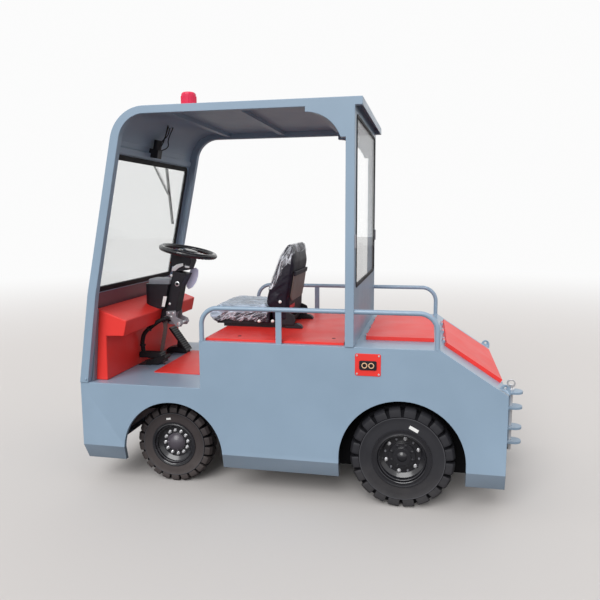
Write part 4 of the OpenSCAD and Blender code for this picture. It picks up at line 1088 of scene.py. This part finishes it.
# %% Grip, spokes and middle
WHEEL_LEAN = math.radians(11.7)
GRIP_R, GRIP_THICK = 163, 16
WAVES, WAVE_HEIGHT = 40, 0.09
FROM_ZERO = Matrix.Translation(-at(0, 0, 0))
grip = thin_ring((0, 0, 0), GRIP_R, GRIP_THICK, around=192, across=16)
for v in grip.data.vertices:
    around = math.atan2(v.co.y, v.co.x)
    core = Vector((v.co.x, v.co.y, 0)).normalized() * GRIP_R * MM
    from_core = v.co - core
    if from_core.z < 4 * MM:
        v.co = core + from_core * (1 + WAVE_HEIGHT * max(math.cos(around * WAVES), 0))
middle = turned("middle", [
    (34, -29.6), (34, -20), (52, -10), (63, -9), (64, -2), (61, 4), (52, 9), (36, 12), (16, 13)], corners=64)
spokes = []
for turn in (180, 60, -60):
    spoke = sawn_plate("spoke", [
        (46, -32), (110, -22), (154, -26), (154, 26), (110, 22), (46, 32)], -7, 9, soft=3, flat=True)
    spokes.append(settle(spoke, Matrix.Rotation(math.radians(turn), 4, "Z") @ FROM_ZERO))
wheel = settle(
    joined("shown_steering_wheel", [grip, middle] + spokes),
    pointing(at(1346, 0, 1284), (-math.sin(WHEEL_LEAN), 0, math.cos(WHEEL_LEAN))))
belongs(wheel, BODY_OF["steering_wheel"], glossy_plastic, SLOT_OF["steering_wheel"])
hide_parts("steering_wheel")
print("steering wheel:", [round(v, 3) for v in wheel.dimensions])

# %% [markdown]
# Below the casing comes the steel end of the column: a turned coupling between two plates, with a
# pin through them, and beside it a black conduit that bends down to the floor.

# %% Coupling, yoke and conduit at the column's foot
FOOT_LEAN = math.radians(13)
DOWN = (math.sin(FOOT_LEAN), 0, -math.cos(FOOT_LEAN))
coupling = turned("coupling", [
    (34, 0), (34, 14), (31.5, 16), (31.5, 34), (36, 36), (36, 46), (31.5, 48), (31.5, 70), (34, 72), (34, 84),
    (20, 90)], corners=40)
placed("column_coupling", coupling, [pointing(at(1455, 0, 914), DOWN)], DULL_STEEL)
plate_pair("column_yoke", [
    (1484, 914), (1420, 918), (1418, 876), (1380, 860), (1374, 838), (1388, 818), (1420, 818), (1452, 858),
    (1482, 866)], 44.3, 7, DULL_STEEL, soft=1.5)
pin = turned("pin", [
    (7, 0), (12, 1), (12, 8), (8.5, 9), (8.5, 117), (12, 118), (12, 125), (7, 126)], corners=24)
placed("yoke_pin", pin, [pointing(at(1398, -63, 838), (0, 1, 0))], STEEL)
placed(
    "yoke_bolts", small_bolt(), sideways([(1436, 51.3, 902), (1468, 51.3, 900), (1452, 51.3, 878)]), STEEL)
round_bar("cable_conduit", [
    (1462, 62, 874), (1504, 92, 862), (1562, 112, 820), (1602, 114, 782), (1619, 112, 735), (1619, 111, 690),
    (1608, 108, 650), (1590, 100, 640)], 13, RUBBER)
conduit_ring = turned("conduit_ring", [(15, 0), (18, 1.5), (18, 9), (15, 10.5)], corners=28)
placed("conduit_rings", conduit_ring, [
    pointing(at(1484, 78, 868), (0.75, 0.6, -0.2)), pointing(at(1568, 113, 815), (0.65, 0.15, -0.72)),
    pointing(at(1619, 111, 712), (0, 0, -1))], BLACK)
sawn_plate("pedal_box", [
    (1502, 640), (1514, 629), (1640, 629), (1640, 668), (1514, 668), (1502, 660)], 84, 44, RUBBER, soft=9)
print("column foot: coupling, yoke, conduit")

# %% [markdown]
# ## Pedals
# The treadle and the brake pad carry rubber with cross ribs. The brake's arm is bare metal. The arm
# belongs to the pedals' solid, so its faces are found by their place and given a second material.

# %% Rubber ribs and the bare arm
second_finish(dressed["pedals"], brown_steel, lambda c, way: 40 < c.y < 80 and 650 < c.z < 900)
# name, outline of a rib, its start and length across, bevel, number of ribs, first one and step along
# the pedal, height over the pedal's line, then the foot (x, z) and the lean in degrees of that line
RIBBED = [
    ("treadle_ribs", [(0, 0), (8, 0), (7, 3.5), (1, 3.5)], -296, 88, 0.8, 11, 14, 16, 12, (1470, 598), 54),
    ("brake_pad_ribs", [(0, 0), (7, 0), (6, 3), (1, 3)], 55, 68, 0.7, 5, -58, 12, 0, (1500, 658), 68),
]
for name, outline, start, length, soft, count, first, step, lift, (x, z), lean in RIBBED:
    foot = Matrix.Translation(at(x, 0, z)) @ Matrix.Rotation(math.radians(-lean), 4, "Y")
    ribs = []
    for i in range(count):
        rib = sawn_plate("rib", outline, start, length, soft=soft)
        along = Matrix.Translation(Vector((first + step * i, 0, lift)) * MM)
        ribs.append(settle(rib, foot @ along @ FROM_ZERO))
    belongs(joined(name, ribs), "chassis", *RUBBER)
sawn_plate("treadle_base", [
    (1474, 587), (1612, 587), (1612, 606), (1596, 622), (1540, 632), (1500, 622)], -292, 80, BLACK, soft=3)
sawn_plate("brake_pad_stop", [
    (1520, 587), (1596, 587), (1596, 606), (1528, 634), (1470, 646), (1462, 630), (1496, 602)],
    46, 84, RUBBER, soft=3)
print("pedals with ribs:", len(RIBBED))

# %% [markdown]
# ## Bar above the windscreen, ends of the dash, wheel housings
# A flat bar closes the front sheet above the window rubber. Between each end of the dash and the
# pillar stands a narrow blue-grey filler, its paint darkened to painted shade. Behind each rear tyre
# hangs a black sheet that closes the wheel's space towards the middle, cut out from below for the axle;
# its near-black matt finish is painted shade of the wheel well.

# %% Bar, fillers and housings
HEADER_Z = 1857
only()
bpy.ops.mesh.primitive_cube_add(size=1)
header = bpy.context.object
header.name = "windscreen_header"
header.scale = (14 * MM, 1070 * MM, 38 * MM)
settle(header)
settle(
    header, Matrix.Translation(on_screen(HEADER_Z)) @ Matrix.Rotation(-LEAN, 4, "Y")
    @ Matrix.Translation((-8 * MM, 0, 0)))
soften(header, 3)
belongs(header, "chassis", body_paint, SLOT_OF["screen_panel"])
# the fillers' darker blue-grey is painted shade
plate_pair(
    "dash_filler", [(1710, 587), (1764, 587), (1704, 985), (1676, 992)], 511, 30,
    (filler_painted_shade, SLOT_OF["screen_panel"]), soft=1.5)
# painted shade: a near-black matt sheet behind each rear tyre
plate_pair("wheel_housing", [
    (-342, 149), (-342, 624), (348, 624), (348, 149), (140, 149), (140, 440), (-140, 440), (-140, 149)],
    384, 5, (wheel_well_painted_shade, SLOT_OF["chassis_frame"]), soft=0.8)
print("header:", [round(v, 3) for v in header.dimensions])

# %% [markdown]
# ## Wiper wiring
# Thin black wires hang in loose loops from the wiper's motor to the corner of the roof. Each is one
# curve with a few points.

# %% Wires
WIRES = [
    [(1502, 40, 1900), (1486, 20, 1948), (1462, -6, 1984), (1436, 10, 2027)],
    [(1502, 52, 1896), (1472, 60, 1934), (1462, 30, 1970), (1430, 46, 2031)],
    [(1500, 30, 1888), (1466, -20, 1922), (1470, -36, 1960), (1426, -14, 2033)],
    [(1500, 60, 1892), (1460, 84, 1918), (1450, 62, 1958), (1422, 70, 2035)],
]
for number, points in enumerate(WIRES, 1):
    round_bar(f"wiper_wire_{number}", points, 3.2, RUBBER, bevel_steps=2)
print("wires:", len(WIRES))

# %% [markdown]
# ## Small things on the body
# Four bright screws hold the red plate of the charging socket, and each of its two round chambers
# has a beige ring. A headlamp is a clear lens in a bright rim. Weld beads run round the feet of the
# rails, a bolt holds each pillar's foot, and small holes in the deck lid are thin black discs, their
# dark inside painted as shade. The half-round lugs on the rear corners are sawn plates with a hole
# bored in them.

# %% Screws, rings and beads
PAINT = (body_paint, "body_paint")
screw = turned("screw", [(5, 0), (5, 1.2), (3.6, 2.8), (1.6, 2.9), (1.4, 1.8)], corners=24)
screw_places = [pointing(at(x, 577, z), (0, 1, 0)) for x in (120, 230) for z in (709, 803)]
placed("socket_screws", screw, screw_places, STEEL)
thin_rings(
    "socket_rings", [at(x, 582, 753.5) for x in (157.5, 191.5)], 12.4, 2.6, (beige_plastic, "black_plastic"),
    turn=(90, 0, 0))
lamp_face = drawn(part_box("headlamps")[1]).x
thin_rings(
    "headlamp_rims", [at(lamp_face - 1, y, 430) for y in (400, -400)], 67, 5, STEEL, turn=(0, 90, 0),
    around=96)
thin_rings(
    "rail_weld_beads", [at(x, y, 844) for x in (-164, 1057) for y in (561.5, -561.5)], 13.4, 2.6, PAINT,
    around=36, across=8)
print("headlamp face at x", round(lamp_face, 1))

# %% Lugs, bolts and holes
LUG_STEPS = 14
arc = [
    (-490 + 25 * math.cos(math.pi * i / LUG_STEPS), 654 + 28 * math.sin(math.pi * i / LUG_STEPS))
    for i in range(1, LUG_STEPS)]
lugs = plate_pair("rear_lug", [(-515, 628), (-465, 660)] + arc + [(-515, 654)], 545, 8, soft=1.2)
for lug, (_, side) in zip(lugs, SIDES):
    eye = turned("eye", [(7.5, 0), (7.5, 40)], corners=24)
    settle(eye, pointing(at(-490, side * 549 - 20, 664), (0, 1, 0)))
    modify(lug, "eye", "BOOLEAN", operation="DIFFERENCE", object=eye)
    apply_all(lug)
    bpy.data.objects.remove(eye)
    belongs(lug, "chassis", *PAINT)
placed("pillar_foot_bolts", small_bolt(), sideways([(1737, 580, 606)]), PAINT)
# painted shade: a thin black disc stands for the dark inside of each hole
hole = turned("hole", [(10, 0), (10, 0.6), (9, 0.8), (9, 0.3)], corners=24)
placed("lid_hole", hole, [
    pointing(at(881, 455, 855.8), (0, 0, 1)), pointing(at(370, 430, 855.8), (0, 0, 1))], RUBBER, "deck_lid")
plate_pair("pillar_stop", [
    (240, 1337), (251, 1337), (251, 1405), (240, 1405)], 546, 28, (dull_steel, "black_plastic"), soft=2)
print("lugs:", len(lugs))

# %% [markdown]
# ## Blank labels on the tyres
# A new tyre carries a small white label. It is a fine grid laid against the sidewall with a
# shrinkwrap modifier, so that it follows the rubber, and it stays blank.

# %% Labels
# wheel, centre x, y, z, turn in degrees, width, height
LABELS = [
    ("rear_left", -58, 554, 428, -28, 50, 17),
    ("front_left", 1303, 472, 369, 8, 26, 11),
]


def fine_grid(name, columns, rows, size, wide, tall):
    only()
    bpy.ops.mesh.primitive_grid_add(x_subdivisions=columns, y_subdivisions=rows, size=size)
    grid = bpy.context.object
    grid.name = name
    grid.scale = (wide * MM, tall * MM, 1)
    return settle(grid)


for name, x, y, z, turn, wide, tall in LABELS:
    label = settle(
        fine_grid("blank_label_" + name, 10, 6, 1, wide, tall),
        Matrix.Translation(at(x, y + 14, z)) @ Matrix.Rotation(math.radians(turn), 4, "Y")
        @ Matrix.Rotation(math.radians(-90), 4, "X"))
    modify(
        label, "against the rubber", "SHRINKWRAP", target=dressed["tyre_" + name], wrap_method="PROJECT",
        use_project_y=True, use_negative_direction=True, use_positive_direction=True, offset=0.8 * MM)
    modify(label, "paper", "SOLIDIFY", thickness=0.4 * MM)
    apply_all(label)
    belongs(label, "wheel_" + name, blank_label, "tyre_rubber")
print("labels:", len(LABELS))

# %% [markdown]
# ## The seat
# The real seat is foam under black vinyl: crowned on top, drawn in at its seams and a little
# wrinkled at the sides, which no bevel gives. So each pad starts from its solid, a little
# smaller and with round corners, gets an even skin of small faces, and is blown up as cloth with
# pressure inside. The movement is capped, so that the pad keeps its size.

# %% Helpers for a pad
VINYL = (seat_vinyl, "seat_vinyl")
SKIN_FACE = 6
CLOTH_STEPS = 20


def ramp(value, start, end):
    """0 at the start, 1 at the end, and no less and no more outside them"""
    return min(max((value - start) / (end - start), 0), 1)


def taper(pad, low_z, high_z, widths):
    """Narrows or widens a pad by height. widths are shares of its width from low_z to high_z"""
    for v in pad.data.vertices:
        t = ramp(v.co.z / MM, low_z, high_z) * (len(widths) - 1)
        i = min(int(t), len(widths) - 2)
        v.co.y *= widths[i] + (widths[i + 1] - widths[i]) * (t - i)


def skinned(node, name, smaller, rounding):
    pad = merged_copy(node, name)
    low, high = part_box(node)
    edit(pad)
    bpy.ops.transform.resize(value=smaller, center_override=(low + high) / 2)
    bpy.ops.object.mode_set(mode="OBJECT")
    round_edges(pad, rounding, 5, 40)
    apply_all(pad)
    pad.data.remesh_voxel_size = SKIN_FACE * MM
    bpy.ops.object.voxel_remesh()
    modify(pad, "relax", "SMOOTH", factor=0.6, iterations=8)
    apply_all(pad)
    return pad


def blown(pad, cap, held_below, looser, pressure):
    """Blows the pad up as cloth. What lies below a height stays, and no corner moves past the cap"""
    only(pad)
    start = [v.co.copy() for v in pad.data.vertices]
    group = pad.vertex_groups.new(name="held")
    group.add([v.index for v in pad.data.vertices if v.co.z / MM < held_below], 1.0, "REPLACE")
    puff = pad.modifiers.new("puff", "CLOTH")
    puff.settings.vertex_group_mass = "held"
    puff.settings.use_pressure = True
    puff.settings.uniform_pressure_force = pressure
    puff.settings.effector_weights.gravity = 0
    puff.settings.shrink_min = -looser
    puff.settings.mass = 0.3
    puff.settings.bending_stiffness = 0.4
    for step in range(1, CLOTH_STEPS + 1):
        bpy.context.scene.frame_set(step)
    bpy.ops.object.modifier_apply(modifier="puff")
    bpy.context.scene.frame_set(1)
    for v, s in zip(pad.data.vertices, start):
        move = v.co - s
        if move.length > 1e-6:
            v.co = s + move.normalized() * cap * MM * math.tanh(move.length / (cap * MM))
    pad.vertex_groups.clear()
    modify(pad, "finer", "SUBSURF", levels=1, render_levels=1)
    apply_all(pad)
    bpy.ops.object.shade_smooth()
    return pad


print("helpers for a pad ready")

# %% Cushion and back
cushion = skinned("seat_cushion", "seat_cushion_pad", (0.965, 0.955, 0.90), 24)
cushion = blown(cushion, 11, held_below=906, looser=0.03, pressure=4.0)
belongs(cushion, "deck_lid", *VINYL)
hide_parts("seat_cushion")
# below the seam the skin of the sides and of the nose hangs down a little further
SIDE_Y, NOSE_X, SEAM_Z = 196, 1104, 940
HANGS = 20
for v in cushion.data.vertices:
    c = drawn(v.co)
    outside = ramp(max(abs(c.y) - SIDE_Y, c.x - NOSE_X), 0, 12)
    v.co.z -= HANGS * outside * ramp(SEAM_Z - c.z, 0, 30) * MM

backrest = skinned("seat_back", "seat_back_pad", (0.93, 0.96, 0.985), 26)
taper(backrest, 902, 1350, [0.94, 0.99, 1.02, 1.02, 0.98, 0.86])
backrest = blown(backrest, 8, held_below=908, looser=0.01, pressure=6.0)
belongs(backrest, "deck_lid", *VINYL)
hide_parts("seat_back")
print("cushion faces:", len(cushion.data.polygons), "back faces:", len(backrest.data.polygons))

# %% [markdown]
# A sewn piping runs round the top of the cushion and up both sides of the back. Its path is a
# table of rough points that are moved onto the pad's skin, so the cord lies in the seam.

# %% Piping
PIPING_R = 2.6
ABOVE_SKIN = 0.6
POINTS_PER_SPAN = 6


def piping(name, pad, rough, closed=False):
    """rough points in millimetres, moved onto the pad's skin"""
    ends = rough[1:] + rough[:1] if closed else rough[1:]
    points = [
        Vector(a).lerp(Vector(b), step / POINTS_PER_SPAN) for a, b in zip(rough, ends)
        for step in range(POINTS_PER_SPAN)]
    if not closed:
        points.append(Vector(rough[-1]))
    snapped = []
    for p in points:
        _, spot, normal, _ = pad.closest_point_on_mesh(at(*p))
        snapped.append(drawn(spot + normal * ABOVE_SKIN * MM))
    if closed:
        snapped.append(snapped[0])
    round_bar(name, snapped, PIPING_R, VINYL, "deck_lid", bevel_steps=2)


piping("cushion_piping", cushion, [
    (800, 214, 990), (900, 214, 985), (1000, 214, 985), (1090, 212, 984), (1124, 190, 972), (1130, 100, 972),
    (1130, -100, 972), (1124, -190, 972), (1090, -212, 984), (1000, -214, 985), (900, -214, 985),
    (800, -214, 990)])
for hand, side in SIDES:
    piping("back_piping_" + hand, backrest, [
        (800, side * 214, 1030), (782, side * 222, 1093), (752, side * 226, 1170), (716, side * 220, 1262),
        (684, side * 204, 1322), (656, side * 180, 1356)])
print("piping laid")

# %% [markdown]
# ## The film over the new seat
# The seat still wears its clear wrapping. The film lies on the pad a few millimetres off and is
# crumpled into fine folds. It is taken from the pad's own skin: the faces that the film covers are
# kept, the rest deleted, and every corner is pushed out by a ridged noise. The nose and the sides of
# the cushion have finer folds, so they take a finish of their own.

# %% Film from the pad's skin
FILM_LIFT = 1.5
# folds in a metre of skin, large and small, how narrow their ridges are, and the small ones' height
LARGE_FOLDS, SMALL_FOLDS = 17, 45
RIDGE = 2.4
SMALL_SHARE = 0.4
ELSEWHERE = Vector((3, 7, 1))


def film_over(pad, name, covered, folds, stretch):
    """covered says where the film lies. folds is the height of its creases in millimetres"""
    only(pad)
    bpy.ops.object.duplicate()
    film = bpy.context.object
    film.name = name
    film.data.name = name
    for key in [k for k in film.keys() if k.startswith("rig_")]:
        del film[key]
    film.parent = None
    choose(film, "FACE", lambda face: not covered(drawn(face.center)))
    bpy.ops.mesh.delete(type="FACE")
    bpy.ops.object.mode_set(mode="OBJECT")
    normals = [v.normal.copy() for v in film.data.vertices]
    for v, normal in zip(film.data.vertices, normals):
        p = v.co * Vector(stretch)
        large = 1 - abs(noise.noise(p * LARGE_FOLDS)) * RIDGE
        small = 1 - abs(noise.noise(p * SMALL_FOLDS + ELSEWHERE)) * RIDGE
        v.co += normal * MM * (FILM_LIFT + folds * (max(large, 0) + SMALL_SHARE * max(small, 0)))
    bpy.ops.object.shade_smooth()
    return film


def cushion_covered(p):
    edge = 897 + 4 * math.sin(p.x / 23) + 3 * math.sin(p.x / 9 + p.y / 40)
    return p.z > edge and p.x > 788 + 5 * math.sin(p.z / 7)


def back_covered(p):
    rear = 640 + (1350 - p.z) * 0.10
    seam = 680 + (1222 - p.z) * 0.545 + 4 * math.sin(p.z / 9)
    front = p.x > seam and p.z > 1080 + 8 * math.sin(p.y / 31)
    high = p.z > 1228 + 6 * math.sin(p.x / 13) and p.x > rear
    return front or high


def on_nose(c, way):
    border = 950 - 36 * ramp(c.x, 1040, 1100) + 8 * noise.noise(at(*c) * 40)
    return way.z < 0.45 and c.z < border


cushion_film = film_over(cushion, "cushion_film", cushion_covered, 3.0, (1, 0.45, 1))
back_film = film_over(backrest, "back_film", back_covered, 3.4, (1, 0.7, 0.6))
for film, rests, wrap in ((cushion_film, cushion, cushion_wrap), (back_film, backrest, back_wrap)):
    belongs(film, "deck_lid", wrap, "seat_vinyl")
    if film is cushion_film:
        second_finish(film, nose_wrap, on_nose)

# %% [markdown]
# ## Behind and below the seat
# The back carries a brown-grey pocket with a red blank strip below it, both laid against the pad
# with a shrinkwrap modifier. Bright bolts hold the pads, and the runner ends in a wedge-shaped foot.

# %% Pocket and strip
BEHIND_SEAT_X = 560
# name, half width, lower and upper edge, middle, radius of the lower corners, height over the pad,
# thickness, finish
PANELS = [
    ("back_pocket", 176, 1010, 1176, 0, 46, 1.5, 5, brown_pocket),
    ("back_pocket_hem", 178, 1158, 1184, 0, 6, 3.5, 9, seat_vinyl),
    ("back_red_strip", 62, 966, 988, 112, 5, 1.2, 3, red_plastic),
]
for name, half_w, low, high, middle_y, corner, lift, thick, material in PANELS:
    half_h = (high - low) / 2
    panel = fine_grid(name, 30, 20, 2, half_w, half_h)
    for v in panel.data.vertices:
        x, drop = v.co.x / MM, corner - half_h - v.co.y / MM
        if drop > 0:
            inside = corner - math.sqrt(max(corner * corner - drop * drop, 0))
            v.co.x = math.copysign(max(abs(x) - inside * (abs(x) / half_w) ** 2, 0), x) * MM
    settle(
        panel, Matrix.Translation(at(BEHIND_SEAT_X, middle_y, (low + high) / 2))
        @ Matrix.Rotation(math.radians(-90), 4, "Z") @ Matrix.Rotation(math.radians(90), 4, "X"))
    modify(
        panel, "against the pad", "SHRINKWRAP", target=backrest, wrap_method="PROJECT", use_project_x=True,
        use_positive_direction=True, use_negative_direction=False, offset=lift * MM)
    modify(panel, "thickness", "SOLIDIFY", thickness=thick * MM, offset=1)
    soften(panel, thick * 0.35)
    belongs(panel, "deck_lid", material, "seat_vinyl")
print("panels behind the seat:", len(PANELS))

# %% Bolts, brackets and runner feet
cap_bolt = joined("seat_bolt", [
    turned("washer", [(9, 0), (9, 2), (8, 2.6)], corners=24),
    turned("cap", [(6, 2), (6, 6), (4.5, 7.5)], corners=24)])
placed(
    "seat_bolts", cap_bolt, sideways([(837, 217, 899), (757, 216, 901), (711, 219, 1014)]),
    (blank_label, "bright_steel"), "deck_lid")
plate_pair(
    "seat_bracket", [(708, 878), (640, 878), (626, 902), (638, 936), (668, 950), (708, 944)], 190, 10, BLACK,
    "deck_lid", soft=2)
plate_pair(
    "runner_foot", [(590, 856.5), (690, 856.5), (690, 880), (616, 884), (596, 872)], 150, 40, BLACK,
    "deck_lid", soft=3)
print("seat hardware placed")
